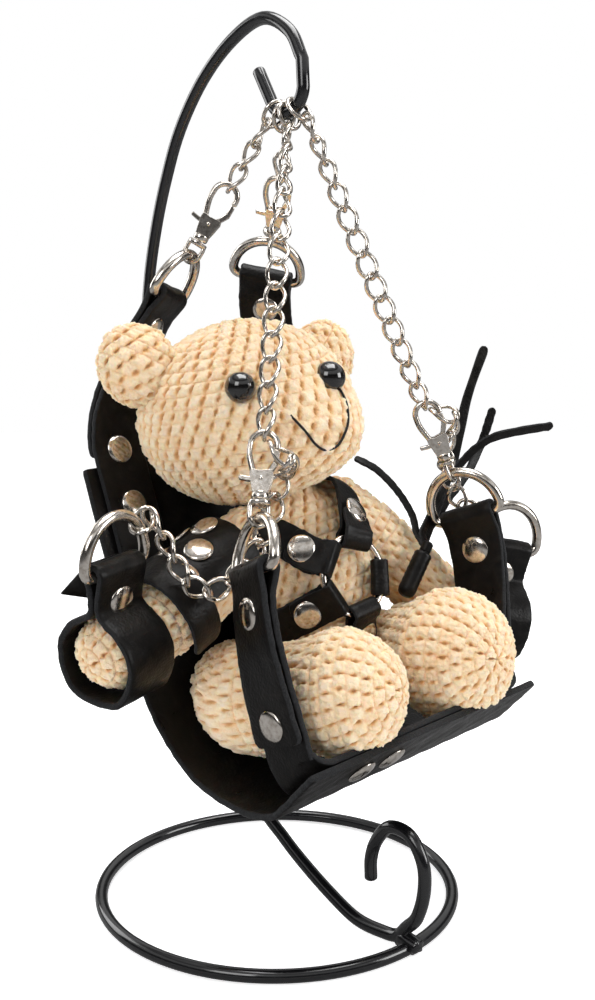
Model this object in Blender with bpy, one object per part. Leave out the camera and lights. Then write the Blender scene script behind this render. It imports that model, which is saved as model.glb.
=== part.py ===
"""A crocheted teddy bear sitting in a leather sling seat, hung by four chains from the hook of a bent wire stand.

Metres, +Z up. The bear looks along -Y and its left hand is at +X. The origin is on the floor, in the middle of the
model's bounding box. The seat's heights are measured from its lowest point, which SEAT_HEIGHT puts above the floor.
"""

import math

import bmesh
import bpy
from mathutils import Matrix, Vector

MM = 0.001
GAP = 0.3 * MM  # clearance between pieces that rest on each other
RING_CENTRE = Vector((-5.4 * MM, -1.45 * MM, 0.0))  # the base ring's centre, seen from the origin

# Stand
STAND_RING_RADIUS = 65.0 * MM
STAND_WIRE_RADIUS = 2.25 * MM
HOOK_HEIGHT = 289.0 * MM  # centre of the hook's bend above the floor
HOOK_Y = -5.6 * MM
HOOK_BEND_RADIUS = 8.2 * MM
HOOK_TIP_LENGTH = 14.0 * MM
STAND_BACK = 77.6 * MM  # how far the upright leans out behind the ring's centre
STAND_CREST = 25.6 * MM  # top of the upright's arch above the centre of the hook's bend
WELD_RADIUS = 4.0 * MM

# Chains and snap hooks
LINK_WIRE = 0.75 * MM
LINK_LENGTH = 10.6 * MM  # wire centre to wire centre, along the chain
LINK_HALF_WIDTH = 3.2 * MM
LINK_TWIST = math.radians(45)
LINK_BITE = 0.5 * MM  # how deep the links of one chain bear on each other
LINK_PLAY = 0.7 * MM  # a chain's play in its hanger ring and in the claw below it
HANGER_RADIUS = 4.65 * MM  # round link that rides on the stand's hook
CLAW_WIRE = 1.0 * MM
CLAW_HALF_WIDTH = 4.3 * MM
CLAW_LENGTH = 12.5 * MM  # from the claw's crown to the hook's body
HOOK_BODY_LENGTH = 7.6 * MM
HOOK_BODY_HALF_TOP = 3.7 * MM
HOOK_BODY_HALF_FOOT = 2.4 * MM
HOOK_BODY_THICKNESS = 3.8 * MM
COLLAR_RADIUS = 2.7 * MM
COLLAR_LENGTH = 2.0 * MM
GATE_THICKNESS = 1.4 * MM
PIN_RADIUS = 0.7 * MM
THUMB_LENGTH = 6.9 * MM
EYE_WIRE = 0.8 * MM
EYE_HALF_WIDTH = 3.1 * MM
EYE_LENGTH = 8.0 * MM

# Leather and its fittings
LEATHER = 2.2 * MM
STRAP_WIDTH = 20.0 * MM
THIN_LEATHER = 1.4 * MM  # the bear's harness
HARNESS_WIDTH = 10.4 * MM
HARNESS_STUD = 4.2 * MM
PANEL_RADIUS = 15.0 * MM
STRAP_SPREAD = 0.5 * MM  # gap between the two layers of a folded strap
RIVET_SINK = 0.15 * MM  # how far a rivet's cap presses into the leather
DEE_WIRE = 1.5 * MM
DEE_HALF_WIDTH = 13.0 * MM
DEE_HEIGHT = 17.0 * MM
DEE_CORNER = 3.0 * MM
RIVET_RADIUS = 5.0 * MM
RIVET_DOME = 1.4 * MM
RIVET_SHANK = 1.5 * MM
SEAT_HEIGHT = 60.5 * MM
SEAT_HALF_WIDTH = 56.0 * MM
SEAT_ROLL = math.radians(-3.6)
STRAP_INSET = 4.5 * MM  # from the seat's edge to the straps that stand on it

# Bear
HEAD = Vector((40.0, 30.0, 30.5)) * MM
MUZZLE = 12.0 * MM
HEAD_BEHIND_CHAIN = 33.53 * MM  # from the front right chain's line back to the head's middle
EAR = Vector((14.5, 8.0, 13.5)) * MM
EYE_RADIUS = 5.2 * MM
TORSO = Vector((27.0, 22.0, 37.0)) * MM

# Harness and whip
CHEST_RING_RADIUS = 13.5 * MM
CHEST_RING_WIRE = 1.2 * MM
CUFF_HALF_WIDTH = 14.0 * MM
CUFF_DROP = 40.0 * MM
GRIP_RADIUS = 3.3 * MM
THONG_WIDTH = 3.6 * MM
THONG_THICKNESS = 1.1 * MM


def clear_scene():
    for item in list(bpy.data.objects):
        bpy.data.objects.remove(item, do_unlink=True)


def material(name, colour, roughness, metallic):
    made = bpy.data.materials.new(name)
    made.use_nodes = True
    shader = made.node_tree.nodes["Principled BSDF"]
    shader.inputs["Base Color"].default_value = (*colour, 1.0)
    shader.inputs["Roughness"].default_value = roughness
    shader.inputs["Metallic"].default_value = metallic
    return made


clear_scene()
GLOSS_BLACK = material("gloss_black_enamel", (0.012, 0.012, 0.013), 0.2, 0.0)
NICKEL = material("nickel_plate", (0.72, 0.68, 0.63), 0.18, 1.0)
BLACK_LEATHER = material("black_leather", (0.02, 0.018, 0.017), 0.5, 0.0)
YARN = material("cream_chenille", (0.9, 0.72, 0.5), 0.95, 0.0)
EYE_BLACK = material("black_eye", (0.01, 0.009, 0.009), 0.08, 0.0)


def make(name, mesh_builder, colour, origin=None, sharp=40):
    """An object from a bmesh, smooth shaded, with its origin at the point given."""
    bmesh.ops.recalc_face_normals(mesh_builder, faces=mesh_builder.faces)
    place = origin if origin is not None else Vector()
    bmesh.ops.translate(mesh_builder, verts=mesh_builder.verts, vec=-place)
    mesh = bpy.data.meshes.new(name)
    mesh_builder.to_mesh(mesh)
    mesh_builder.free()
    mesh.shade_smooth()
    mesh.set_sharp_from_angle(angle=math.radians(sharp))
    mesh.materials.append(colour)
    made = bpy.data.objects.new(name, mesh)
    made.location = place
    bpy.context.collection.objects.link(made)
    return made


def tool(name, mesh_builder):
    """A cutter or an addition, which only shows through the piece that uses it."""
    made = make(name, mesh_builder, BLACK_LEATHER)
    made.hide_render = True
    made.display_type = "WIRE"
    return made


def combine(piece, other, operation):
    step = piece.modifiers.new(operation.lower(), "BOOLEAN")
    step.operation = operation
    step.solver = "EXACT"
    step.object = other


def smooth_route(points, steps):
    """A smooth curve through the points, with the given number of steps between two of them."""
    ends = [points[0] * 2 - points[1]] + list(points) + [points[-1] * 2 - points[-2]]
    route = []
    for a, b, c, d in zip(ends, ends[1:], ends[2:], ends[3:]):
        for k in range(steps):
            t = k / steps
            bend = (a * 2 - b * 5 + c * 4 - d) * t * t + (b * 3 - a - c * 3 + d) * t ** 3
            route.append(b + ((c - a) * t + bend) * 0.5)
    route.append(points[-1].copy())
    return route


def directions(route):
    """The direction of travel at each point of an open route."""
    last = len(route) - 1
    return [(route[min(i + 1, last)] - route[max(i - 1, 0)]).normalized() for i in range(last + 1)]


def skin(rings, closed=False):
    """A skin over a row of equal rings; closed joins the last ring to the first, otherwise both ends are capped."""
    shape = bmesh.new()
    rows = [[shape.verts.new(point) for point in ring] for ring in rings]
    pairs = list(zip(rows, rows[1:]))
    if closed:
        pairs.append((rows[-1], rows[0]))
    count = len(rows[0])
    for low, high in pairs:
        for i in range(count):
            j = (i + 1) % count
            shape.faces.new((low[i], low[j], high[j], high[i]))
    if not closed:
        shape.faces.new(rows[0][::-1])
        shape.faces.new(rows[-1])
    return shape


def circle(centre, across, up, radius, sides, half_step=False):
    shift = 0.5 if half_step else 0.0
    turns = [2 * math.pi * (i + shift) / sides for i in range(sides)]
    return [centre + across * (radius * math.cos(t)) + up * (radius * math.sin(t)) for t in turns]


def rod(route, radius, sides, first_side=None):
    """A round bar along an open route; radius is one number or one for each point."""
    ways = directions(route)
    side = first_side or Vector((1, 0, 0))
    rings = []
    for i, (point, way) in enumerate(zip(route, ways)):
        side = (side - way * side.dot(way)).normalized()
        size = radius[i] if isinstance(radius, list) else radius
        rings.append(circle(point, side, way.cross(side), size, sides))
    return skin(rings)


def loop(route, radius, sides, half_step=False):
    """A round wire along a closed route that goes round its own middle."""
    middle = sum(route, Vector()) / len(route)
    rings = []
    for i, point in enumerate(route):
        way = (route[(i + 1) % len(route)] - route[i - 1]).normalized()
        side = point - middle
        side = (side - way * side.dot(way)).normalized()
        rings.append(circle(point, side, side.cross(way), radius, sides, half_step))
    return skin(rings, closed=True)


def join(*shapes):
    """Several bmeshes in one; they stay separate bodies."""
    whole = bmesh.new()
    for shape in shapes:
        mesh = bpy.data.meshes.new("joined")
        shape.to_mesh(mesh)
        shape.free()
        whole.from_mesh(mesh)
        bpy.data.meshes.remove(mesh)
    return whole


def cylinder(foot, axis, radius, length, sides=14, top_radius=None):
    side = axis.orthogonal().normalized()
    other = axis.cross(side)
    far = radius if top_radius is None else top_radius
    return skin([circle(foot, side, other, radius, sides), circle(foot + axis * length, side, other, far, sides)])


def rivet(middle, axis, grip, cap=RIVET_RADIUS):
    """Two domed caps on one shank, for a stack of leather that is grip thick."""
    side = axis.orthogonal().normalized()
    other = axis.cross(side)
    half = grip / 2
    crown = ((half + RIVET_DOME, 0.45 * cap), (half + 0.68 * RIVET_DOME, 0.85 * cap), (half, cap))
    outline = [(-height, radius) for height, radius in crown] + [(-half, RIVET_SHANK), (half, RIVET_SHANK)]
    outline += reversed(crown)
    return skin([circle(middle + axis * height, side, other, radius, 8) for height, radius in outline])


def seat_point(x, y, z):
    """A point of the hanging seat in millimetres: z is above the seat's lowest point."""
    return Vector((x * MM, y * MM, z * MM + SEAT_HEIGHT))


ROLL_CENTRE = seat_point(0, 0, 38)


def rolled(point):
    """The seat hangs a little lower on the bear's right."""
    return ROLL_CENTRE + Matrix.Rotation(SEAT_ROLL, 3, "Y") @ (point - ROLL_CENTRE)


# The stand: a base ring, and one rod bent into a front curl, a leaning upright and the hook
def stand():
    level = STAND_WIRE_RADIUS * math.cos(math.pi / 8)
    turns = [2 * math.pi * i / 48 for i in range(48)]
    ring = loop([Vector((STAND_RING_RADIUS * math.sin(t), STAND_RING_RADIUS * math.cos(t), level)) for t in turns],
                STAND_WIRE_RADIUS, 8, half_step=True)
    piece = make("base_ring", ring, GLOSS_BLACK)
    front = -STAND_RING_RADIUS
    bead = bmesh.new()
    bmesh.ops.create_icosphere(bead, subdivisions=1, radius=WELD_RADIUS,
                               matrix=Matrix.Translation((0, front + 1.0 * MM, level + 2.2 * MM)))
    combine(piece, tool("weld_bead", bead), "UNION")
    combine(piece, tool("rod_room", rod(rod_route(), STAND_WIRE_RADIUS + GAP, 8)), "DIFFERENCE")
    make("stand_rod", rod(rod_route(), STAND_WIRE_RADIUS, 8), GLOSS_BLACK)


def rod_route():
    """The rod's centre line, in the plane x = 0, from the curl's end to the hook's tip."""
    low = STAND_WIRE_RADIUS + 0.9 * MM
    lean = STAND_BACK
    front = -STAND_RING_RADIUS
    clear = 2 * STAND_WIRE_RADIUS + 2 * GAP
    curl = [(front + 17.7 * MM, low + 17.5 * MM), (front + 17.7 * MM, low + 24.5 * MM),
            (front + 15.1 * MM, low + 31.7 * MM), (front + 9.3 * MM, low + 38.0 * MM),
            (front + 0.5 * MM, low + 37.6 * MM), (front - 5.2 * MM, low + 29.8 * MM),
            (front - 5.8 * MM, low + 20.1 * MM), (front - 3.0 * MM, low + 10.5 * MM),
            (front + 1.4 * MM, low + clear + 0.3 * MM), (front + clear, low + 1.4 * MM),
            (front + clear + 6.0 * MM, low)]
    sole = [(front + 24.1 * MM, low), (-27.7 * MM, low + 4.9 * MM), (-13.8 * MM, low + 11.9 * MM),
            (-3.2 * MM, low + 18.4 * MM), (9.5 * MM, low + 28.0 * MM)]
    rise = [(lean * 0.47, HOOK_HEIGHT * 0.22), (lean * 0.80, HOOK_HEIGHT * 0.36), (lean * 0.955, HOOK_HEIGHT * 0.47),
            (lean, HOOK_HEIGHT * 0.59), (lean, HOOK_HEIGHT * 0.69), (lean - 3.0 * MM, HOOK_HEIGHT - 62.0 * MM),
            (lean - 8.2 * MM, HOOK_HEIGHT - 41.0 * MM), (lean - 15.1 * MM, HOOK_HEIGHT - 22.7 * MM),
            (lean - 24.2 * MM, HOOK_HEIGHT - 5.2 * MM), (lean - 38.2 * MM, HOOK_HEIGHT + 10.7 * MM)]
    arch = [(HOOK_Y + 28.4 * MM, HOOK_HEIGHT + STAND_CREST - 4.1 * MM), (HOOK_Y + 12.0 * MM, HOOK_HEIGHT + STAND_CREST),
            (HOOK_Y - 1.2 * MM, HOOK_HEIGHT + STAND_CREST - 6.7 * MM),
            (HOOK_Y - HOOK_BEND_RADIUS + 0.6 * MM, HOOK_HEIGHT + STAND_CREST - 17.2 * MM)]
    smooth = smooth_route([Vector((0, y, z)) for y, z in curl + sole + rise + arch], 2)
    bend = [hook_point(math.radians(185 + 14.5 * i)) for i in range(11)]
    tip_way = Vector((0, -math.sin(math.radians(330)), math.cos(math.radians(330))))
    tip = bend[-1] + tip_way * HOOK_TIP_LENGTH
    return smooth + bend + [bend[-1] + tip_way * (HOOK_TIP_LENGTH / 2), tip]


def hook_point(turn):
    """A point on the hook's bend; 270 degrees is its lowest."""
    return Vector((0, HOOK_Y + HOOK_BEND_RADIUS * math.cos(turn), HOOK_HEIGHT + HOOK_BEND_RADIUS * math.sin(turn)))


# A D-ring hangs its strap on a straight bar; pull is its direction up to the hook
def dee_route(foot, pull, bar):
    """The ring's centre line, from the middle of its bar."""
    rise = DEE_HEIGHT - DEE_CORNER
    route = []
    for i in range(11):
        t = math.pi * i / 10
        route.append(foot + bar * (DEE_HALF_WIDTH * math.cos(t)) + pull * (DEE_CORNER + rise * math.sin(t)))
    for t in (0.3, 0.65, 1.0):
        turn = t * math.pi / 2
        route.append(foot - bar * (DEE_HALF_WIDTH - DEE_CORNER * (1 - math.cos(turn)))
                     + pull * (DEE_CORNER * (1 - math.sin(turn))))
    for t in (1.0, 0.65, 0.3):
        turn = t * math.pi / 2
        route.append(foot + bar * (DEE_HALF_WIDTH - DEE_CORNER * (1 - math.cos(turn)))
                     + pull * (DEE_CORNER * (1 - math.sin(turn))))
    return route


class Hanger:
    """One of the four suspensions: its place on the hook and its D-ring."""

    def __init__(self, name, side, crown, station):
        self.name = name
        self.side = side
        self.crown = crown
        turn = math.radians(station)
        self.on_hook = hook_point(turn)
        self.hook_way = Vector((0, -math.sin(turn), math.cos(turn)))
        down = crown - self.on_hook
        self.drop = (down - self.hook_way * down.dot(self.hook_way)).normalized()
        self.ring_middle = self.on_hook + self.drop * (HANGER_RADIUS - STAND_WIRE_RADIUS - LINK_WIRE - GAP)
        self.ring_foot = self.ring_middle + self.drop * HANGER_RADIUS
        self.down = (crown - self.ring_foot).normalized()
        self.pull = -self.down
        inward = Vector((-side * math.sqrt(0.5), -math.sqrt(0.5), 0))
        self.face = (inward - self.pull * inward.dot(self.pull)).normalized()
        self.bar = self.pull.cross(self.face) * side
        self.bar_middle = crown - self.pull * DEE_HEIGHT


HANGERS = {
    "front_right": Hanger("front_right", -1, seat_point(-46.8, -42.4, 88.4), 258),
    "front_left": Hanger("front_left", 1, seat_point(46.8, -42.4, 95.8), 234),
    "back_right": Hanger("back_right", -1, seat_point(-19.2, 23.5, 173.4), 306),
    "back_left": Hanger("back_left", 1, seat_point(19.2, 23.5, 180.8), 282),
}


def chain_link(top, way, across, length, twist):
    """A curb link: an oval whose two ends are turned against each other by the twist each way."""
    side = way.cross(across)
    middle = top + way * (length / 2)
    route = []
    for i in range(8):
        t = 2 * math.pi * i / 8
        along = math.cos(t)
        turn = twist * along
        wide = across * math.cos(turn) + side * math.sin(turn)
        route.append(middle + way * (along * length / 2) + wide * (LINK_HALF_WIDTH * math.sin(t)))
    return loop(route, LINK_WIRE, 4)


def chain(name, route, first_across, last_across=None):
    """A chain along a smooth route of wire centres; its links turn evenly from the first to the last."""
    lengths = [0.0]
    for a, b in zip(route, route[1:]):
        lengths.append(lengths[-1] + (b - a).length)

    def at(distance):
        for i, (low, high) in enumerate(zip(lengths, lengths[1:])):
            if distance <= high or i == len(lengths) - 2:
                return route[i].lerp(route[i + 1], (distance - low) / (high - low))
        return route[-1]

    bite = 2 * LINK_WIRE - LINK_BITE
    count = max(2, round((lengths[-1] - bite) / (LINK_LENGTH - bite)))
    pitch = (lengths[-1] - bite) / count
    joints = [at(bite / 2 + pitch * i) for i in range(count + 1)]
    joints[0], joints[-1] = route[0], route[-1]
    ways = [(b - a).normalized() for a, b in zip(joints, joints[1:])]
    side = ways[0].cross(first_across)
    across = first_across * math.cos(LINK_TWIST) + side * math.sin(LINK_TWIST)
    turns = []
    for way in ways:
        across = (across - way * across.dot(way)).normalized()
        turns.append(across)
    turned = 0.0
    if last_across:
        other = ways[-1].cross(across)
        turned = math.atan2(last_across.dot(other), last_across.dot(across)) - LINK_TWIST
        turned = (turned + math.pi / 2) % math.pi - math.pi / 2
    links = []
    for i, (way, across) in enumerate(zip(ways, turns)):
        turn = turned * i / (count - 1)
        wide = across * math.cos(turn) + way.cross(across) * math.sin(turn)
        back = 0 if i == 0 else bite / 2
        fore = 0 if i == count - 1 else bite / 2
        span = (joints[i + 1] - joints[i]).length + back + fore
        links.append(chain_link(joints[i] - way * back, way, wide, span, LINK_TWIST))
    return two_rows(name, links)


def two_rows(name, links):
    """Interlocked links as one body: the odd ones joined to the even ones."""
    piece = make(name, join(*links[0::2]), NICKEL)
    combine(piece, tool(f"{name}_odd_links", join(*links[1::2])), "UNION")
    return piece


def claw_frame(hanger):
    """The claw's crown, the way across it to the thumb lever's side, and the way out of its flat face."""
    thumb_way = Vector((-math.sqrt(0.5), math.sqrt(0.5), 0))
    across = (thumb_way - hanger.down * thumb_way.dot(hanger.down)).normalized()
    return snap_hook_crown(hanger), across, across.cross(hanger.pull)


def snap_hook_crown(hanger):
    """The claw's crown, so that the swivel eye carries the D-ring."""
    eye_foot = hanger.crown + hanger.down * (DEE_WIRE + EYE_WIRE + GAP)
    return eye_foot - hanger.down * (CLAW_LENGTH + HOOK_BODY_LENGTH + COLLAR_LENGTH + GAP + EYE_LENGTH)


def suspension(hanger):
    """The round link on the stand's hook, the chain, the snap hook and the D-ring."""
    side_way = hanger.hook_way.cross(hanger.drop)
    ring = [hanger.ring_middle + hanger.drop * (HANGER_RADIUS * math.cos(t)) + side_way * (HANGER_RADIUS * math.sin(t))
            for t in [2 * math.pi * i / 12 for i in range(12)]]
    make(f"hanger_ring_{hanger.name}", loop(ring, LINK_WIRE, 5), NICKEL)
    down = hanger.down
    crown, claw_side, claw_face = claw_frame(hanger)
    first = (hanger.hook_way - down * hanger.hook_way.dot(down)).normalized()
    start = hanger.ring_foot - down * (2 * LINK_WIRE + LINK_PLAY)
    end = crown + down * (CLAW_WIRE + LINK_WIRE + LINK_PLAY)
    chain(f"chain_{hanger.name}", [start, end], first, claw_face)
    snap_hook(hanger, crown, claw_side, claw_face)
    make(f"dee_{hanger.name}", loop(dee_route(hanger.bar_middle, hanger.pull, hanger.bar), DEE_WIRE, 6), NICKEL)


def box(low, high, across, face, up, origin):
    """A box in a piece's own directions: low and high are (across, face, up) from its origin."""
    rings = []
    for u in (low[2], high[2]):
        corners = ((low[0], low[1]), (high[0], low[1]), (high[0], high[1]), (low[0], high[1]))
        rings.append([origin + across * a + face * b + up * u for a, b in corners])
    return skin(rings)


def plate(outline, face, thickness, across, up, origin):
    """A flat piece cut to an outline of (across, up) points."""
    rings = []
    for offset in (-thickness / 2, thickness / 2):
        rings.append([origin + across * a + up * u + face * offset for a, u in outline])
    return skin(rings)


def snap_hook(hanger, crown, across, face):
    """A trigger snap: a claw on a tapered body, a sprung gate on a pin, and an eye that swivels in the collar."""
    name = hanger.name
    up = hanger.pull
    body_top = -CLAW_LENGTH
    body_foot = body_top - HOOK_BODY_LENGTH
    collar_foot = body_foot - COLLAR_LENGTH
    pin_up = body_top - 3.0 * MM
    slot = GATE_THICKNESS / 2 + GAP

    def at(a, u):
        return crown + across * a + up * u

    tip_up = -5.2 * MM
    claw = [at(-CLAW_HALF_WIDTH * math.cos(t), CLAW_HALF_WIDTH * (math.sin(t) - 1))
            for t in [math.pi * i / 6 for i in range(7)]]
    claw = [at(-CLAW_HALF_WIDTH, tip_up)] + claw
    claw += [at(CLAW_HALF_WIDTH, -7.0 * MM), at(CLAW_HALF_WIDTH - 0.5 * MM, -9.5 * MM),
             at(HOOK_BODY_HALF_TOP - CLAW_WIRE, body_top - 0.6 * MM)]
    outline = [(-HOOK_BODY_HALF_FOOT, body_foot), (HOOK_BODY_HALF_FOOT, body_foot),
               (HOOK_BODY_HALF_TOP, body_top - 1.6 * MM), (HOOK_BODY_HALF_TOP - 0.4 * MM, body_top),
               (0.8 * MM, body_top - 0.5 * MM), (-HOOK_BODY_HALF_TOP + 0.4 * MM, body_top),
               (-HOOK_BODY_HALF_TOP, body_top - 1.6 * MM)]
    body = plate(outline, face, HOOK_BODY_THICKNESS, across, up, crown)
    piece = make(f"snap_hook_{name}", body, NICKEL, hanger_axis_point(hanger, crown, collar_foot))
    half = HOOK_BODY_THICKNESS / 2
    room = HOOK_BODY_HALF_TOP + 2 * MM
    gate_room = box((-room, -slot, body_foot + 1.7 * MM), (2.2 * MM, slot, body_top + 2 * MM), across, face, up, crown)
    thumb_room = box((0, -slot, body_foot + 1.7 * MM), (room, slot, body_top - 1.5 * MM), across, face, up, crown)
    combine(piece, tool(f"gate_room_{name}", gate_room), "DIFFERENCE")
    combine(piece, tool(f"thumb_room_{name}", thumb_room), "DIFFERENCE")
    combine(piece, tool(f"claw_{name}", rod(claw, CLAW_WIRE, 6, face)), "UNION")
    collar = cylinder(crown + up * (body_foot + 0.5 * MM), -up, COLLAR_RADIUS, COLLAR_LENGTH + 0.5 * MM, 8)
    combine(piece, tool(f"collar_{name}", collar), "UNION")
    pin = cylinder(crown + up * pin_up - face * (half + 0.2 * MM), face, PIN_RADIUS, 2 * half + 0.4 * MM, 8)
    combine(piece, tool(f"pin_{name}", pin), "UNION")
    bore = cylinder(crown + up * (collar_foot - 0.5 * MM), up, 1.0 * MM + GAP, 3.2 * MM, 8)
    combine(piece, tool(f"swivel_bore_{name}", bore), "DIFFERENCE")
    gate(name, crown, across, face, up, pin_up, tip_up)
    swivel_eye(hanger, crown, collar_foot)


def gate(name, crown, across, face, up, pin_up, tip_up):
    """The sprung gate: a bar up to the claw's tip and a thumb lever out of the other side."""
    bar = 0.8 * MM
    hub = 1.7 * MM
    thumb = THUMB_LENGTH
    outline = [(0, pin_up - hub), (hub, pin_up - 0.9 * MM), (thumb, pin_up - 0.3 * MM), (thumb, pin_up + 1.1 * MM),
               (hub, pin_up + 0.8 * MM), (0.2 * MM, pin_up + hub), (-2.0 * MM, pin_up + 3.4 * MM),
               (-CLAW_HALF_WIDTH + bar, pin_up + 6.4 * MM), (-CLAW_HALF_WIDTH + bar, tip_up - GAP),
               (-CLAW_HALF_WIDTH - bar, tip_up - GAP - 0.8 * MM), (-CLAW_HALF_WIDTH - bar, pin_up + 5.4 * MM),
               (-2.9 * MM, pin_up + 1.6 * MM), (-hub, pin_up - 0.6 * MM)]
    shape = plate(outline, face, GATE_THICKNESS, across, up, crown)
    piece = make(f"gate_{name}", shape, NICKEL, crown + up * pin_up)
    bore = cylinder(crown + up * pin_up - face * (3 * MM), face, PIN_RADIUS + GAP, 6 * MM, 8)
    combine(piece, tool(f"gate_bore_{name}", bore), "DIFFERENCE")


def hanger_axis_point(hanger, crown, collar_foot):
    return crown + hanger.pull * collar_foot


def swivel_eye(hanger, crown, collar_foot):
    """A bail on a stem that turns in the collar; the D-ring hangs in it."""
    up = hanger.pull
    across = hanger.face
    head = collar_foot - GAP
    foot = head - EYE_LENGTH
    wide = EYE_HALF_WIDTH
    reach = foot + wide

    def at(a, u):
        return crown + across * a + up * u

    bail = [at(-wide, head - 0.7 * MM), at(-wide, reach + 1.0 * MM)]
    bail += [at(-wide * math.cos(t), reach - wide * math.sin(t)) for t in [math.pi * i / 6 for i in range(7)]]
    bail += [at(wide, reach + 1.0 * MM), at(wide, head - 0.7 * MM)]
    piece = make(f"swivel_eye_{hanger.name}", rod(bail, EYE_WIRE, 6, hanger.bar), NICKEL, at(0, head))
    bridge = box((-wide - EYE_WIRE, -1.3 * MM, head - 1.6 * MM), (wide + EYE_WIRE, 1.3 * MM, head),
                 across, hanger.bar, up, crown)
    combine(piece, tool(f"eye_bridge_{hanger.name}", bridge), "UNION")
    stem = cylinder(at(0, head - 0.8 * MM), up, 1.0 * MM, 0.8 * MM + GAP + 2.2 * MM, 8)
    combine(piece, tool(f"eye_stem_{hanger.name}", stem), "UNION")


# The sling seat: one sheet of leather, a cradle strap along its front edge and two back straps
SEAT_PROFILE = ((33, 102.4), (15, 48.5), (2.5, 21.5), (-17, 4.6), (-40, 0), (-54, 2.2), (-60.4, 6.8), (-66.7, 13.1),
                (-73, 19.4))
LIP_ROOT = seat_point(0, *SEAT_PROFILE[-2])
LIP_EDGE = seat_point(0, *SEAT_PROFILE[-1])
SIDEWAYS = Vector((1, 0, 0))
LAID = LEATHER + GAP  # middle of a strap above the middle of the sheet it lies on
DOUBLED = (LEATHER + STRAP_SPREAD) / 2  # each layer's middle from the middle of a folded strap
ROUND_BAR = DEE_WIRE + GAP + LEATHER / 2  # middle of a strap round a D-ring's bar


def rolled_way(way):
    return rolled(way) - rolled(Vector())


def seat_middle():
    """The sheet's middle surface from the top of its back to its front lip."""
    return smooth_route([seat_point(0, y, z) for y, z in SEAT_PROFILE], 4)


def strap(stations, width, thickness, closed=False):
    """A flat strap through stations of (middle, width direction, face direction or None for square to the run)."""
    middles = [middle for middle, _, _ in stations]
    last = len(middles) - 1
    rings = []
    for i, (middle, wide, face) in enumerate(stations):
        if closed:
            way = (middles[(i + 1) % len(middles)] - middles[i - 1]).normalized()
        else:
            way = (middles[min(i + 1, last)] - middles[max(i - 1, 0)]).normalized()
        if face is None:
            wide = (wide - way * wide.dot(way)).normalized()
        out = way.cross(wide)
        if face is not None:
            out = face if out.dot(face) > 0 else -face
        a = wide * (width / 2)
        b = out * (thickness / 2)
        rings.append([middle - a - b, middle + a - b, middle + a + b, middle - a + b])
    shape = skin(rings, closed)
    bmesh.ops.triangulate(shape, faces=shape.faces)
    return shape


def fitted(piece, rivets=(), holes=(), room=()):
    """Fuses a strap's own rivets to it, cuts the holes of those that go on into the seat and the room for others."""
    for i, (middle, axis, grip) in enumerate(rivets):
        combine(piece, tool(f"{piece.name}_rivet_{i}", rivet(middle, axis, grip - 2 * RIVET_SINK)), "UNION")
    for cutter in holes:
        combine(piece, cutter, "DIFFERENCE")
    for i, shape in enumerate(room):
        combine(piece, tool(f"{piece.name}_room_{i}", shape), "DIFFERENCE")


def through_rivet(name, middle, axis):
    """A rivet through a strap and the sheet under it; returns the cutter for its hole."""
    grip = 2 * LEATHER + 3 * GAP
    make(name, rivet(middle, axis, grip), NICKEL)
    return tool(f"{name}_hole", cylinder(middle - axis * grip, axis, RIVET_SHANK + GAP, 2 * grip, 10))


LIP_CAPS = []


class Fold:
    """A strap doubled over a D-ring's bar, from the bar down to its end on the seat."""

    def __init__(self, bar_middle, pull, bar, face, end, end_way, end_wide, tension=0.3):
        self.bar_middle = bar_middle
        self.pull = pull
        self.face = face
        self.bar = bar if bar.dot(end_wide) > 0 else -bar
        self.end_wide = end_wide
        reach = (end - bar_middle).length * tension
        knots = (bar_middle, bar_middle - pull * reach, end - end_way * reach, end)
        self.route = []
        count = 9
        for i in range(count + 1):
            t = i / count
            u = 1 - t
            self.route.append(knots[0] * u ** 3 + knots[1] * (3 * u * u * t) + knots[2] * (3 * u * t * t)
                              + knots[3] * t ** 3)
        self.ways = directions(self.route)
        self.count = count

    def section(self, i):
        """The doubled strap's middle, its width direction and the way to its inner layer at a step of the route."""
        t = i / self.count
        turn = t * t * (3 - 2 * t)
        way = self.ways[i]
        wide = self.bar.lerp(self.end_wide, turn)
        wide = (wide - way * wide.dot(way)).normalized()
        inner = way.cross(wide)
        first = self.ways[0].cross(self.bar)
        return self.route[i], wide, inner if first.dot(self.face) > 0 else -inner

    def layer(self, sign, first, last):
        """Stations of the inner (1) or outer (-1) layer between two steps of the route."""
        stations = []
        for i in range(first, last + 1):
            middle, wide, inner = self.section(i)
            ease = max(0.0, 1 - (middle - self.bar_middle).length / (9 * MM)) ** 2
            stations.append((middle + inner * (sign * (DOUBLED + (ROUND_BAR - DOUBLED) * ease)), wide, inner))
        return stations

    def stations(self, outer_last):
        """The whole strap from the outer layer's cut end, over the bar, to the inner layer's end."""
        _, _, inner = self.section(0)
        over = []
        for i in range(7):
            t = math.pi * i / 6
            over.append((self.bar_middle + (inner * -math.cos(t) - self.ways[0] * math.sin(t)) * ROUND_BAR, self.bar, None))
        return list(reversed(self.layer(-1, 1, outer_last))) + over + self.layer(1, 1, self.count)

    def rivet_at(self, i):
        middle, _, inner = self.section(i)
        return middle, inner, 2 * LEATHER + STRAP_SPREAD


def seat():
    across = rolled_way(SIDEWAYS)
    sheet = make("seat_sheet", strap([(rolled(point), across, None) for point in seat_middle()], 2 * SEAT_HALF_WIDTH,
                                     LEATHER), BLACK_LEATHER)
    holes = cradle_strap(across)
    for name in ("back_right", "back_left"):
        holes += back_strap(HANGERS[name], across)
    fitted(sheet, holes=holes)


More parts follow.
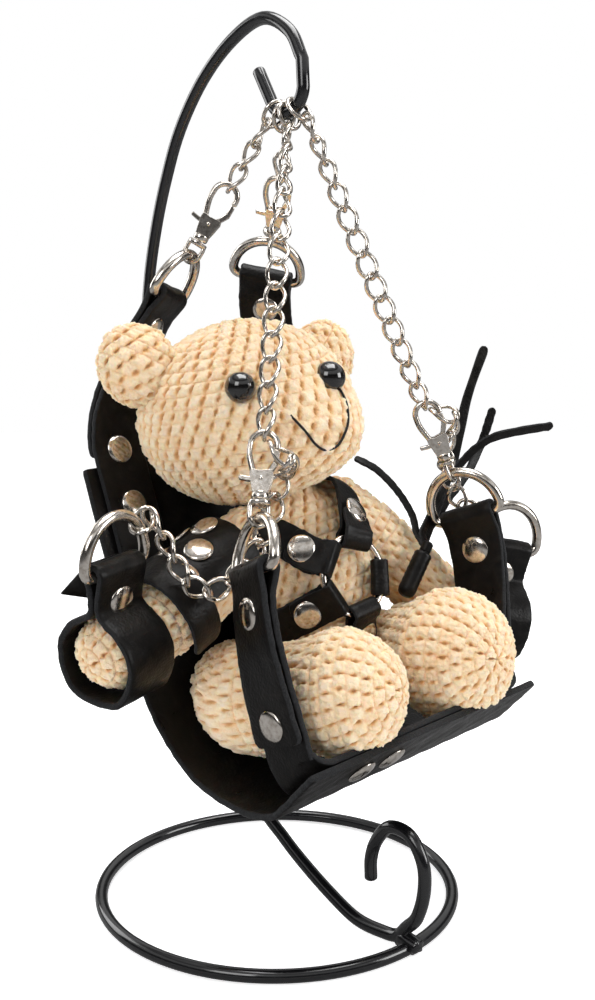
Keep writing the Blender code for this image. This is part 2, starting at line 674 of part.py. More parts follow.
def cradle_strap(across):
    """One strap: folded over the front D-rings, down both sides and across on the front lip."""
    slope = (LIP_EDGE - LIP_ROOT).normalized()
    lip_face = slope.cross(SIDEWAYS)
    lip_face = lip_face if lip_face.z > 0 else -lip_face
    middle = LIP_EDGE - slope * (STRAP_WIDTH / 2) + lip_face * LAID
    edge = SEAT_HALF_WIDTH - STRAP_INSET
    halves = []
    rivets = []
    for hanger in (HANGERS["front_right"], HANGERS["front_left"]):
        side = hanger.side
        inner = edge - DOUBLED

        def lip(x, above):
            return rolled(middle + Vector((side * x, 0, 0)) + lip_face * above)

        end = lip(edge, 7.0 * MM)
        fold = Fold(hanger.bar_middle, hanger.pull, hanger.bar, hanger.face, end,
                    (rolled_way(lip_face) * -1 + Vector((0, 0, -1))).normalized(), rolled_way(slope))
        wide = rolled_way(slope)
        turn = [(lip(inner - 0.3 * MM, 4.6 * MM), wide, None), (lip(inner - 1.7 * MM, 1.8 * MM), wide, None),
                (lip(inner - 4.4 * MM, 0.3 * MM), wide, None), (lip(inner - 8.0 * MM, 0), wide, None)]
        halves.append(fold.stations(fold.count - 1) + turn)
        rivets += [fold.rivet_at(2), fold.rivet_at(fold.count - 2)]
    run = halves[0] + [(rolled(middle), rolled_way(slope), None)] + list(reversed(halves[1]))
    aligned = [run[0]]
    for point, wide, face in run[1:]:
        aligned.append((point, wide if wide.dot(aligned[-1][1]) > 0 else -wide, face))
    piece = make("cradle_strap", strap(aligned, STRAP_WIDTH, LEATHER), BLACK_LEATHER)
    holes = []
    for x, word in ((-28.0, "right"), (-14.0, "left")):
        spot = rolled(middle + Vector((x * MM, 0, 0)) - lip_face * (LAID / 2))
        out = rolled_way(lip_face).normalized()
        holes.append(through_rivet(f"lip_rivet_{word}", spot, out))
        LIP_CAPS.append((spot + out * LEATHER, out))
    fitted(piece, rivets, holes)
    return holes


def back_strap(hanger, across):
    """A strap folded over a back D-ring; its inner layer runs down inside the seat's back and is riveted there."""
    side = hanger.side
    name = f"back_strap_{'right' if side < 0 else 'left'}"
    lay = Vector((side * (SEAT_HALF_WIDTH - STRAP_INSET - STRAP_WIDTH / 2), 0, 0))
    top = seat_point(0, *SEAT_PROFILE[0]) + lay
    down = (seat_point(0, *SEAT_PROFILE[1]) - seat_point(0, *SEAT_PROFILE[0])).normalized()
    face = down.cross(SIDEWAYS)
    face = face if face.z > 0 else -face
    end = rolled(top - down * (3.5 * MM) + face * (LAID - DOUBLED))
    fold = Fold(hanger.bar_middle, hanger.pull, hanger.bar, hanger.face, end, rolled_way(down), across * side)
    stations = fold.stations(fold.count)
    for distance in (6.0, 24.0, 42.0, 54.0):
        stations.append((rolled(top + down * (distance * MM) + face * LAID), across * side, None))
    aligned = [stations[0]]
    for point, wide, out in stations[1:]:
        aligned.append((point, wide if wide.dot(aligned[-1][1]) > 0 else -wide, out))
    piece = make(name, strap(aligned, STRAP_WIDTH, LEATHER), BLACK_LEATHER)
    holes = []
    for distance, word in ((15.0, "upper"), (47.0, "lower")):
        spot = rolled(top + down * (distance * MM) + face * (LAID / 2))
        holes.append(through_rivet(f"{name}_rivet_{word}", spot, rolled_way(face).normalized()))
    fitted(piece, [fold.rivet_at(2), fold.rivet_at(fold.count - 1)], holes)
    return holes


def seat_room():
    """All the space from just inside the seat's leather outwards, which the bear's legs keep out of."""
    rings = []
    route = seat_middle()
    edge = SEAT_HALF_WIDTH + 2 * MM
    for point, way in zip(route, directions(route)):
        inward = way.cross(SIDEWAYS)
        inward = inward if inward.z > 0 or inward.y < 0 else -inward
        strapped = (LIP_EDGE - point).length < STRAP_WIDTH + 3 * MM
        reach = LEATHER / 2 + GAP + (LEATHER + 1.5 * GAP if strapped else 0)
        low = point - inward * (24 * MM)
        high = point + inward * reach
        rings.append([rolled(low - SIDEWAYS * edge), rolled(low + SIDEWAYS * edge), rolled(high + SIDEWAYS * edge),
                      rolled(high - SIDEWAYS * edge)])
    shape = skin(rings)
    bmesh.ops.triangulate(shape, faces=shape.faces)
    return shape


# The bear: plush forms that swell and taper, each cut back from the larger one beside it
HEAD_CENTRE = seat_point(-14, 0, 121.5)
FRONT_CHAIN = HANGERS["front_right"]
FRONT_CHAIN_SHARE = (HEAD_CENTRE.z - FRONT_CHAIN.crown.z) / (FRONT_CHAIN.ring_foot.z - FRONT_CHAIN.crown.z)
HEAD_CENTRE.y = FRONT_CHAIN.crown.lerp(FRONT_CHAIN.ring_foot, FRONT_CHAIN_SHARE).y + HEAD_BEHIND_CHAIN
HEAD_TURN = Matrix.Rotation(math.radians(-7), 3, "Z") @ Matrix.Rotation(math.radians(-8), 3, "Y")
TORSO_CENTRE = seat_point(4, -11.5, 57)
TORSO_TURN = Matrix.Rotation(math.radians(-12), 3, "X") @ Matrix.Rotation(math.radians(-8), 3, "Y")


def plush(centre, radii, turn, detail, grow=0.0, bump=None):
    """A rounded form; bump is (direction, height, spread) of a muzzle that swells out of it."""
    shape = bmesh.new()
    bmesh.ops.create_icosphere(shape, subdivisions=detail, radius=1.0)
    for vert in shape.verts:
        way = vert.co.normalized()
        point = Vector((way.x * (radii.x + grow), way.y * (radii.y + grow), way.z * (radii.z + grow)))
        if bump:
            toward, height, spread = bump
            near = math.exp(-(way - toward).length_squared / (spread * spread))
            point += toward * (height * near)
        vert.co = centre + turn @ point
    return shape


def head_shape(grow=0.0, detail=3):
    toward = Vector((0.08, -0.95, -0.3)).normalized()
    return plush(HEAD_CENTRE, HEAD, HEAD_TURN, detail, grow, (toward, MUZZLE, 0.62))


def torso_shape(grow=0.0, detail=3):
    return plush(TORSO_CENTRE, TORSO, TORSO_TURN, detail, grow)


def limb(route, radii, grow=0.0):
    """A stuffed limb with rounded ends along a route, with a radius for each of its points."""
    smooth = smooth_route(route, 3)
    sizes = [w.x + grow for w in smooth_route([Vector((r, 0, 0)) for r in radii], 3)]
    ways = directions(smooth)
    points, radius = [], []
    for t in (0.34, 0.68, 0.91):
        points.append(smooth[0] - ways[0] * (sizes[0] * math.sqrt(1 - t * t)))
        radius.append(sizes[0] * t)
    points += smooth
    radius += sizes
    for t in (0.91, 0.68, 0.34):
        points.append(smooth[-1] + ways[-1] * (sizes[-1] * math.sqrt(1 - t * t)))
        radius.append(sizes[-1] * t)
    return rod(points, radius, 11)


LIMBS = {
    "bear_arm_right": (((-19, -6, 74), (-42, -7, 61), (-62, -9, 51.5), (-78, -11, 47.5)), (12, 13, 12, 12)),
    "bear_arm_left": (((22, -8, 82), (33, -15, 71), (43, -23, 59.5), (58, -30, 47), (75, -40, 39)),
                      (12, 13, 12.5, 11.5, 12)),
    "bear_leg_right": (((-27, -10, 25), (-33, -24, 25), (-30, -42, 29), (-23, -57, 32)), (16, 18, 17.5, 20.5)),
    "bear_leg_left": (((28, -12, 29), (31, -27, 28), (30, -42, 33), (28, -56.5, 36)), (16, 17, 17.5, 21)),
}


def limb_shape(name, grow=0.0):
    points, radii = LIMBS[name]
    return limb([seat_point(*p) for p in points], [r * MM for r in radii], grow)


def bear():
    make("bear_torso", torso_shape(), YARN)
    head = make("bear_head", head_shape(), YARN)
    combine(head, tool("neck_room", torso_shape(GAP)), "DIFFERENCE")
    for side, word in ((-1, "right"), (1, "left")):
        centre = HEAD_CENTRE + HEAD_TURN @ Vector((side * 39 * MM, 4 * MM, 15 * MM))
        turn = HEAD_TURN @ Matrix.Rotation(math.radians(side * -35), 3, "Y")
        ear = make(f"bear_ear_{word}", plush(centre, EAR, turn, 2), YARN)
        fitted(ear, room=[head_shape(GAP)])
        spot = Vector((side * 20.5 * MM, 0, 7 * MM))
        spot.y = -HEAD.y * math.sqrt(1 - (spot.x / HEAD.x) ** 2 - (spot.z / HEAD.z) ** 2) - 2.6 * MM
        eye_centre = HEAD_CENTRE + HEAD_TURN @ spot
        make(f"bear_eye_{word}", ball(eye_centre, EYE_RADIUS), EYE_BLACK)
        combine(head, tool(f"eye_socket_{word}", ball(eye_centre, EYE_RADIUS + GAP)), "DIFFERENCE")
    for name in LIMBS:
        room = [torso_shape(GAP)]
        if "arm" in name:
            room.append(head_shape(GAP))
        if "leg" in name:
            room += [seat_room()] + [cylinder(spot, out, RIVET_RADIUS + GAP, RIVET_DOME + 2 * GAP, 8)
                                     for spot, out in LIP_CAPS]
        fitted(make(name, limb_shape(name), YARN), room=room)


def ball(centre, radius):
    shape = bmesh.new()
    bmesh.ops.create_uvsphere(shape, u_segments=10, v_segments=6, radius=radius, matrix=Matrix.Translation(centre))
    return shape


# The bear's cuffs: a doubled band round each paw, a D-ring in its fold and a chain up to the front snap hook
class Cuff:
    """Where one cuff sits: the middle of its band, the way through it, and its D-ring."""

    def __init__(self, word, middle, axis, up):
        self.word = word
        self.axis = axis.normalized()
        self.up = (up - self.axis * up.dot(self.axis)).normalized()
        self.over = self.axis.cross(self.up)
        self.bar_middle = middle + self.up * (CUFF_DROP - CUFF_HALF_WIDTH)

    def at(self, across, up):
        return self.bar_middle + self.over * across + self.up * up

    def dee_point(self, turn, shrink=0.0):
        """A point of the D-ring's bow; shrink moves it in towards the ring's middle."""
        t = math.radians(turn)
        reach = self.axis * ((DEE_HALF_WIDTH - shrink) * math.cos(t))
        return self.bar_middle + reach + self.up * (DEE_CORNER + (DEE_HEIGHT - DEE_CORNER - shrink) * math.sin(t))


CUFFS = {
    "right": Cuff("right", seat_point(-78, -11, 47.5), Vector((0.96, 0.2, 0.12)), Vector((0.15, -0.1, 1))),
    "left": Cuff("left", seat_point(74.5, -40, 39.5), Vector((0.86, -0.43, -0.2)), Vector((-0.1, 0, 1))),
}


# How the two cuff chains drape behind the front D-rings, in millimetres like the seat
RIGHT_DRAPE = ((-27.6, -31, 98.5), (-29.8, -31.5, 90), (-33.4, -32, 82.9), (-39, -32, 75.8), (-45.7, -31, 68.1),
               (-53.5, -29, 64.5), (-60.5, -26, 66.3))
LEFT_DRAPE = ((51.6, -35, 101.8), (55.4, -34.5, 94.1), (60.0, -35, 85.3), (64.4, -35.5, 79))


def cuff(place):
    word = place.word
    half = CUFF_HALF_WIDTH + GAP
    drop = CUFF_DROP
    make(f"cuff_dee_{word}", loop(dee_route(place.bar_middle, place.up, place.axis), DEE_WIRE, 6), NICKEL)
    flank = [(DOUBLED, -9 * MM), (DOUBLED + 1.2 * MM, drop * -0.32), (half * 0.72, drop * -0.45),
             (half, drop * -0.62), (half * 0.92, drop * -0.84)]
    over_bar = [(ROUND_BAR * math.cos(t), ROUND_BAR * math.sin(t)) for t in [math.pi * i / 6 for i in range(7)]]
    neck = (DOUBLED + 0.5 * MM, -5 * MM)
    points = over_bar + [(-neck[0], neck[1])] + [(-a, u) for a, u in flank]
    points += [(-half * 0.5, -drop), (half * 0.5, -drop)] + flank[::-1] + [neck]
    band = strap([(place.at(a, u), place.axis, None) for a, u in points], STRAP_WIDTH, LEATHER, closed=True)
    piece = make(f"cuff_{word}", band, BLACK_LEATHER)
    fitted(piece, [(place.at(0, -9.5 * MM), place.over, 2 * LEATHER + STRAP_SPREAD)],
           room=[limb_shape(f"bear_arm_{word}", GAP)])


def cuff_chain(hanger, place, drape, turn):
    """A chain that hangs from the front snap hook's claw, beside the main chain, down to the cuff's D-ring."""
    crown, across, face = claw_frame(hanger)
    start = crown - across * (1.5 * MM) - hanger.pull * (3.1 * MM)
    end = place.dee_point(turn, DEE_WIRE + LINK_WIRE + GAP)
    out = (place.dee_point(turn) - end).normalized()
    aside = -across * 0.72 - hanger.pull * 0.7
    knots = [start, start + aside * (5 * MM), start + aside * LINK_LENGTH]
    knots += [seat_point(*point) for point in drape]
    knots += [end + out * (8 * MM), end]
    chain(f"cuff_chain_{place.word}", smooth_route(knots, 6), face, place.over)


# The harness: straps over the bear's body that meet in a ring on its chest
def on_torso(azimuth, height, lift):
    """A point above the torso's surface and the way out of it; azimuth 0 is the front, positive to the bear's left."""
    a, e = math.radians(azimuth), math.radians(height)
    way = Vector((math.sin(a) * math.cos(e), -math.cos(a) * math.cos(e), math.sin(e)))
    out = Vector((way.x / TORSO.x, way.y / TORSO.y, way.z / TORSO.z)).normalized()
    point = Vector((way.x * TORSO.x, way.y * TORSO.y, way.z * TORSO.z))
    return TORSO_CENTRE + TORSO_TURN @ (point + out * lift), TORSO_TURN @ out


def laid_on_torso(place, lift):
    """The point above the torso's surface nearest to a place in front of it, and the way out."""
    local = TORSO_TURN.transposed() @ (place - TORSO_CENTRE)
    size = math.sqrt((local.x / TORSO.x) ** 2 + (local.y / TORSO.y) ** 2 + (local.z / TORSO.z) ** 2)
    point = local / size
    out = Vector((point.x / TORSO.x ** 2, point.y / TORSO.y ** 2, point.z / TORSO.z ** 2)).normalized()
    return TORSO_CENTRE + TORSO_TURN @ (point + out * lift), TORSO_TURN @ out


ON_BODY = GAP + THIN_LEATHER / 2 + 0.4 * MM  # a thin strap's middle above the plush
ROUND_RING = CHEST_RING_WIRE + GAP + THIN_LEATHER / 2 + 0.2 * MM
RING_BOW = CHEST_RING_RADIUS - math.sqrt(CHEST_RING_RADIUS ** 2 - (HARNESS_WIDTH / 2) ** 2)


class ChestRing:
    """The ring on the chest and the directions in its plane."""

    def __init__(self):
        self.middle, self.out = on_torso(8, 8, ON_BODY + ROUND_RING)
        level = Vector((1, 0, 0))
        self.across = (level - self.out * level.dot(self.out)).normalized()
        self.up = self.out.cross(self.across)
        self.up = self.up if self.up.z > 0 else -self.up

    def outward(self, turn):
        t = math.radians(turn)
        return self.across * math.cos(t) + self.up * math.sin(t)

    def on_wire(self, turn):
        return self.middle + self.outward(turn) * CHEST_RING_RADIUS


def ring_fold(ring, turn, body, stand_off=0.8):
    """Stations of a thin strap from the far end of its way on the body, round the ring's wire and back over itself.

    body lists (azimuth, height, extra lift) from the far end to the ring; stand_off is the lift just before it.
    """
    wire = ring.on_wire(turn)
    out = ring.outward(turn)
    knots = []
    ups = []
    for azimuth, height, extra in body:
        point, up = on_torso(azimuth, height, ON_BODY + extra * MM)
        knots.append(point)
        ups.append(up)
    point, up = laid_on_torso(wire + out * (8 * MM), ON_BODY + stand_off * MM)
    knots += [point, wire - ring.out * ROUND_RING]
    ups += [up, ring.out]
    route = smooth_route(knots, 3)
    faces = [up.normalized() for up in smooth_route(ups, 3)]
    ways = directions(route)
    side = ring.out.cross(out)
    lower = []
    for i, (point, way, face) in enumerate(zip(route, ways, faces)):
        wide = way.cross(face).normalized()
        nearing = max(0.0, 1 - (len(route) - 1 - i) / 4)
        wide = wide.lerp(side if side.dot(wide) > 0 else -side, nearing)
        lower.append((point, (wide - face * wide.dot(face)).normalized(), face))
    over = []
    for i in range(1, 6):
        t = math.pi * i / 6
        reach = (ROUND_RING + RING_BOW) * math.sin(t)
        over.append((wire - out * reach - ring.out * (ROUND_RING * math.cos(t)), side, None))
    upper = [(wire + ring.out * ROUND_RING, side, ring.out)]
    length = 0.0
    for i in range(len(lower) - 2, 0, -1):
        length += (lower[i][0] - lower[i + 1][0]).length
        if length > 15 * MM:
            break
        close = THIN_LEATHER + GAP
        ease = max(0.0, 1 - length / (8 * MM)) ** 2
        lift = close + (2 * ROUND_RING - close) * ease
        upper.append((lower[i][0] + lower[i][2] * lift, lower[i][1], lower[i][2]))
    point, _, face = min(upper, key=lambda station: abs((station[0] - wire).length - 9.5 * MM))
    stud_at = (point, face)
    aligned = [lower[0]]
    for point, wide, face in lower[1:] + over + upper:
        aligned.append((point, wide if wide.dot(aligned[-1][1]) > 0 else -wide, face))
    return aligned, stud_at


def stud(point, out, radius):
    """A rivet's cap pressed a little into the leather it stands on."""
    side = out.orthogonal().normalized()
    other = out.cross(side)
    rings = [(-0.3 * MM, radius), (0.55 * RIVET_DOME, radius * 0.85), (0.9 * RIVET_DOME, radius * 0.45)]
    return skin([circle(point + out * (THIN_LEATHER / 2 + height), side, other, wide, 8) for height, wide in rings])


def harness():
    ring = ChestRing()
    route = [ring.on_wire(i * 360 / 20) for i in range(20)]
    make("chest_ring", loop(route, CHEST_RING_WIRE, 6), NICKEL)
    for name, turn, body, stand_off, room in HARNESS_STRAPS:
        stations, stud_at = ring_fold(ring, turn, body, stand_off)
        piece = make(name, strap(stations, HARNESS_WIDTH, THIN_LEATHER), BLACK_LEATHER)
        combine(piece, tool(f"{name}_stud", stud(*stud_at, HARNESS_STUD)), "UNION")
        fitted(piece, room=[limb_shape(limb_name, GAP) for limb_name in room] + [head_shape(GAP)])
    stations, stud_at = ring_fold(ring, 211, BELT)
    other, other_stud = ring_fold(ring, 350, BELT_END)
    whole = list(reversed(stations)) + other
    aligned = [whole[0]]
    for point, wide, face in whole[1:]:
        aligned.append((point, wide if wide.dot(aligned[-1][1]) > 0 else -wide, face))
    belt = make("harness_belt", strap(aligned, HARNESS_WIDTH, THIN_LEATHER), BLACK_LEATHER)
    for i, spot in enumerate((stud_at, other_stud)):
        combine(belt, tool(f"belt_stud_{i}", stud(*spot, HARNESS_STUD)), "UNION")
    fitted(belt, room=[limb_shape(name, GAP) for name in ("bear_leg_right", "bear_leg_left", "bear_arm_left")])
    arm_panel()


HARNESS_STRAPS = (
    ("harness_chest_strap", 145, ((-74, 35, 5.0), (-52, 32, 1.5)), 0.8, ("bear_arm_right",)),
    ("harness_shoulder_strap", 76, ((165, 30, 0), (150, 52, 1.0), (108, 68, 2.5), (60, 64, 3.0), (38, 47, 4.5)), 3.6,
     ("bear_arm_left",)),
    ("harness_lower_strap", 279, ((180, -74, 0), (0, -88, 0), (6, -64, 0), (10, -45, 0)), 0.8,
     ("bear_leg_right", "bear_leg_left")),
)
BELT = ((180, -13, 0), (-150, -14, 0), (-120, -15, 0), (-92, -15, 0), (-62, -13, 0.2))
BELT_END = ((168, -14, 0), (138, -15, 0), (108, -15, 0), (80, -12, 0.6))


def arm_panel():
    """A leather panel wrapped round the right upper arm, open underneath, with its rivets."""
    start = seat_point(-27, -6.2, 70.4)
    end = seat_point(-59, -8.7, 53.2)
    axis = (end - start).normalized()
    up = (Vector((0, 0, 1)) - axis * axis.z).normalized()
    over = axis.cross(up)
    middle = start.lerp(end, 0.5)
    radius = PANEL_RADIUS
    stations = []
    turns = [math.radians(-125 + 250 * i / 12) for i in range(13)]
    for t in turns:
        stations.append((middle + up * (radius * math.cos(t)) + over * (radius * math.sin(t)), axis, None))
    piece = make("harness_arm_panel", strap(stations, (end - start).length, THIN_LEATHER), BLACK_LEATHER)
    for along, turn in ((-10, 8), (-10, 52), (-10, 96), (8, 24), (8, 70)):
        t = math.radians(turn)
        out = up * math.cos(t) - over * math.sin(t)
        spot = middle + axis * (along * MM) + out * radius
        combine(piece, tool(f"panel_stud_{turn}", stud(spot, out, HARNESS_STUD)), "UNION")


# The whip that leans on the bear's left thigh: a stitched grip and four flat thongs
GRIP_TOP = seat_point(36, -39, 67.7)
GRIP_FOOT = seat_point(26, -38.5, 53.2)
THONGS = (
    ((40, -36, 72), (50, -31.5, 78), (61, -27, 87), (71, -24.5, 99), (80, -23, 121), (90, -24, 142)),
    ((41, -34, 72.5), (53, -30, 77), (66, -26, 84), (79, -25, 93), (88, -25, 105), (92, -27, 118)),
    ((40, -35, 74), (50, -31, 80), (60, -28.5, 89), (69, -31, 99), (78.5, -38, 107.5), (105, -46, 111)),
    ((38, -34, 74), (39.5, -31, 79), (39, -28, 84), (36, -25, 90), (31, -20, 97), (26, -14, 101)),
)


def whip():
    way = (GRIP_FOOT - GRIP_TOP).normalized()
    points = [GRIP_TOP, GRIP_TOP + way * (0.8 * MM), GRIP_FOOT - way * (2.5 * MM), GRIP_FOOT - way * (0.8 * MM), GRIP_FOOT]
    radii = [GRIP_RADIUS * 0.9, GRIP_RADIUS, GRIP_RADIUS, GRIP_RADIUS * 0.82, GRIP_RADIUS * 0.45]
    make("whip_grip", rod(points, radii, 12), BLACK_LEATHER)
    head = GRIP_TOP - way * GAP
    plug = rod([head, head - way * (4 * MM)], GRIP_RADIUS * 0.62, 10)
    piece = make("whip_thongs", plug, BLACK_LEATHER)
    for i, knots in enumerate(THONGS):
        route = smooth_route([head - way * (2 * MM)] + [seat_point(*knot) for knot in knots], 2)
        view = Vector((0.69, 0.72, -0.12))
        stations = []
        for point, along in zip(route, directions(route)):
            wide = along.cross(view)
            turn = Matrix.Rotation(math.radians(35 + 30 * i), 3, along)
            stations.append((point, turn @ wide.normalized(), None))
        combine(piece, tool(f"thong_{i}", strap(stations, THONG_WIDTH, THONG_THICKNESS)), "UNION")


stand()
for one in HANGERS.values():
    suspension(one)
seat()
bear()
for one in CUFFS.values():
    cuff(one)
cuff_chain(HANGERS["front_right"], CUFFS["right"], RIGHT_DRAPE, 35)
cuff_chain(HANGERS["front_left"], CUFFS["left"], LEFT_DRAPE, 145)
harness()
whip()
for item in bpy.data.objects:
    item.location += RING_CENTRE
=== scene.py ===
"""Teddy bear on a swing, dressed for the photograph: crocheted bear, black leather sling, chains and wire stand.

Lengths in the sections below are in millimetres, seen from the middle of the stand's base ring, and spot() turns
them into the frame's metres. The bear looks along -Y, and right and left are the bear's own.
"""
import math

import bmesh
import bpy
import numpy as np
from mathutils import Matrix, Vector


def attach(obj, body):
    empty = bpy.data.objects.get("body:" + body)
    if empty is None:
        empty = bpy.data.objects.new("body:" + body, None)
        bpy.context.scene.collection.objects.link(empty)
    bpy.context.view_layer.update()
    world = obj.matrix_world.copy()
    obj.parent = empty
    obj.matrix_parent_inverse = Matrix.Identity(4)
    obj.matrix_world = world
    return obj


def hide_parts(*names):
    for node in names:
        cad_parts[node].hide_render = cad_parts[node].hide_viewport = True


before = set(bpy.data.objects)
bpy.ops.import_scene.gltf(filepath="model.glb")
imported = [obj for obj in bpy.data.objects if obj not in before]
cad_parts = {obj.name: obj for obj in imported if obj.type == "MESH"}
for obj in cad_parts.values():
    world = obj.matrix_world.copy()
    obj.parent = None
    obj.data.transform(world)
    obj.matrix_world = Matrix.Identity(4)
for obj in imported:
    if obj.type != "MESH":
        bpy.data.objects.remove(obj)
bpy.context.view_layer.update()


# The view and the studio: a camera where the photographer stood, a white floor lit from below, four soft boxes,
# and a room that the metal mirrors in light and dark bands.
TO_CAMERA = Vector((-0.68852, -0.71558, 0.11787))
WHITE = (1, 1, 1, 1)


def spot(x, y, z):
    """A point given in millimetres from the middle of the base ring."""
    return Vector((x - 5.4, y - 1.45, z)) / 1000


def finish(name, colour, **sockets):
    """A new material with some of its shader's values set, as (material, tree, shader, place on the piece)."""
    made = bpy.data.materials.new(name)
    made.use_nodes = True
    shader = made.node_tree.nodes["Principled BSDF"]
    shader.inputs["Base Color"].default_value = (*colour, 1)
    for socket, value in sockets.items():
        shader.inputs[socket.replace("_", " ")].default_value = value
    return made, made.node_tree, shader, made.node_tree.nodes.new("ShaderNodeTexCoord").outputs["Object"]


def mix(tree, factor, first, second, blend="MIX"):
    """The colour between two others; each of the three is a value or a socket."""
    node = tree.nodes.new("ShaderNodeMix")
    node.data_type = "RGBA"
    node.blend_type = blend
    for socket, value in (("Factor", factor), ("A", first), ("B", second)):
        if isinstance(value, bpy.types.NodeSocket):
            tree.links.new(value, node.inputs[socket])
        else:
            node.inputs[socket].default_value = value
    return node.outputs["Result"]


def ramp(tree, factor, stops, into=None):
    """A colour ramp over (position, colour or grey) stops, led into a socket if one is given."""
    node = tree.nodes.new("ShaderNodeValToRGB")
    tree.links.new(factor, node.inputs["Fac"])
    while len(node.color_ramp.elements) < len(stops):
        node.color_ramp.elements.new(0.5)
    for element, (position, colour) in zip(node.color_ramp.elements, stops):
        element.position = position
        element.color = (*colour, 1) if isinstance(colour, tuple) else (colour, colour, colour, 1)
    if into:
        tree.links.new(node.outputs["Color"], into)
    return node.outputs["Color"]


bpy.ops.object.select_all(action="DESELECT")
bpy.ops.object.camera_add(location=spot(-273.96, -295.66, 194.76))
camera = bpy.context.object
camera.name = "photo_camera"
sight = Matrix(((0.72060, -0.69335, 0.0), (0.08173, 0.08494, 0.99303), TO_CAMERA)).transposed()
camera.rotation_euler = sight.to_euler()
camera.data.sensor_width = 36.0
camera.data.lens = 40.576
camera.data.clip_start = 0.01
bpy.context.scene.camera = camera

bpy.ops.mesh.primitive_circle_add(vertices=96, radius=3.0, fill_type="NGON", location=(0, 0, -0.0004))
floor = bpy.context.object
floor.name = "floor"
paper, tree, shader, _ = finish("white_paper", (0.97, 0.97, 0.97), Roughness=0.85, Emission_Color=WHITE)
ray = tree.nodes.new("ShaderNodeLightPath").outputs
tone = mix(tree, ray["Is Glossy Ray"], (0.97, 0.97, 0.97, 1), (0.22, 0.22, 0.22, 1))
tree.links.new(tone, shader.inputs["Base Color"])
glow = tree.nodes.new("ShaderNodeMapRange")
glow.inputs["To Min"].default_value = 0.10
glow.inputs["To Max"].default_value = 0.72
tree.links.new(ray["Is Camera Ray"], glow.inputs["Value"])
tree.links.new(glow.outputs["Result"], shader.inputs["Emission Strength"])
floor.data.materials.append(paper)

for at, size, power, aim in (((-0.95, -0.35, 0.70), 0.5, 3.2, 0.15), ((0.60, -1.0, 0.45), 0.5, 5.0, 0.15),
                             ((0.1, -0.05, 1.1), 0.7, 8.5, 0.1), ((-0.3, 0.95, 0.5), 0.6, 3.0, 0.15)):
    bpy.ops.object.light_add(type="AREA", location=at)
    lamp = bpy.context.object
    lamp.data.size = size
    lamp.data.energy = power
    lamp.rotation_euler = (Vector((0, 0, aim)) - Vector(at)).to_track_quat("-Z", "Y").to_euler()

surround = bpy.data.worlds.new("white_surround")
surround.use_nodes = True
tree = surround.node_tree
ray = tree.nodes.new("ShaderNodeLightPath").outputs
level = tree.nodes.new("ShaderNodeSeparateXYZ")
tree.links.new(tree.nodes.new("ShaderNodeTexCoord").outputs["Generated"], level.inputs["Vector"])
bands = ramp(tree, level.outputs["Z"], ((0.0, 0.10), (0.12, 0.04), (0.36, 0.05), (0.42, 0.55), (0.68, 0.66),
                                        (0.76, 0.10), (1.0, 1.0)))
mirrored = mix(tree, ray["Is Glossy Ray"], (0.34, 0.34, 0.35, 1), bands)
seen = mix(tree, ray["Is Camera Ray"], mirrored, WHITE)
tree.links.new(seen, tree.nodes["Background"].inputs["Color"])
bpy.context.scene.world = surround
bpy.context.scene.view_settings.view_transform = "Standard"


# The stand: one steel rod bent into a front curl, a leaning upright and a hook, and a base ring brazed under it.
# Both are dipped in gloss black enamel, which runs a little thick and has a faint orange peel.
ROD, BASE = 2.25, 65.0
HOOK_Y, HOOK_Z, BEND = -5.6, 289.0, 8.2
BACK = 77.6


def smooth_route(points, steps):
    """A smooth curve through the points, with the given number of steps between two of them."""
    ends = [points[0] * 2 - points[1]] + list(points) + [points[-1] * 2 - points[-2]]
    route = []
    for a, b, c, d in zip(ends, ends[1:], ends[2:], ends[3:]):
        for k in range(steps):
            t = k / steps
            bend = (a * 2 - b * 5 + c * 4 - d) * t * t + (b * 3 - a - c * 3 + d) * t ** 3
            route.append(b + ((c - a) * t + bend) * 0.5)
    route.append(points[-1].copy())
    return route


def directions(route):
    last = len(route) - 1
    return [(route[min(i + 1, last)] - route[max(i - 1, 0)]).normalized() for i in range(last + 1)]


def square(side, way):
    """The direction nearest to side that stands square to the way."""
    return (side - way * side.dot(way)).normalized()


def disc(centre, across, up, radius, sides):
    turns = [2 * math.pi * i / sides for i in range(sides)]
    return [centre + across * (radius * math.cos(t)) + up * (radius * math.sin(t)) for t in turns]


def wire_rings(route, radius, sides, side=Vector((1, 0, 0))):
    """Rings of a round wire along a route, with domed ends."""
    ways = directions(route)
    domes = [(radius * 0.5 * math.sqrt(1 - t * t), radius * t) for t in (0.35, 0.72, 0.94)]
    rings = [(route[0] - ways[0] * reach, ways[0], size) for reach, size in domes]
    rings += [(point, way, radius) for point, way in zip(route, ways)]
    rings += [(route[-1] + ways[-1] * reach, ways[-1], size) for reach, size in domes[::-1]]
    made = []
    for point, way, size in rings:
        side = square(side, way)
        made.append(disc(point, side, way.cross(side), size, sides))
    return made


def pick(piece):
    bpy.ops.object.select_all(action="DESELECT")
    bpy.context.view_layer.objects.active = piece
    piece.select_set(True)


def outward(piece):
    """Turns the piece's faces outwards and shades it smooth, apart from its sharp edges."""
    pick(piece)
    bpy.ops.object.mode_set(mode="EDIT")
    bpy.ops.mesh.select_all(action="SELECT")
    bpy.ops.mesh.normals_make_consistent(inside=False)
    bpy.ops.object.mode_set(mode="OBJECT")
    bpy.ops.object.shade_smooth_by_angle(angle=math.radians(42))


def new_piece(name, verts, faces):
    """A new object that stays at the origin, with its place in its mesh."""
    mesh = bpy.data.meshes.new(name)
    mesh.from_pydata(verts, [], faces)
    mesh.update()
    made = bpy.data.objects.new(name, mesh)
    bpy.context.collection.objects.link(made)
    outward(made)
    return made


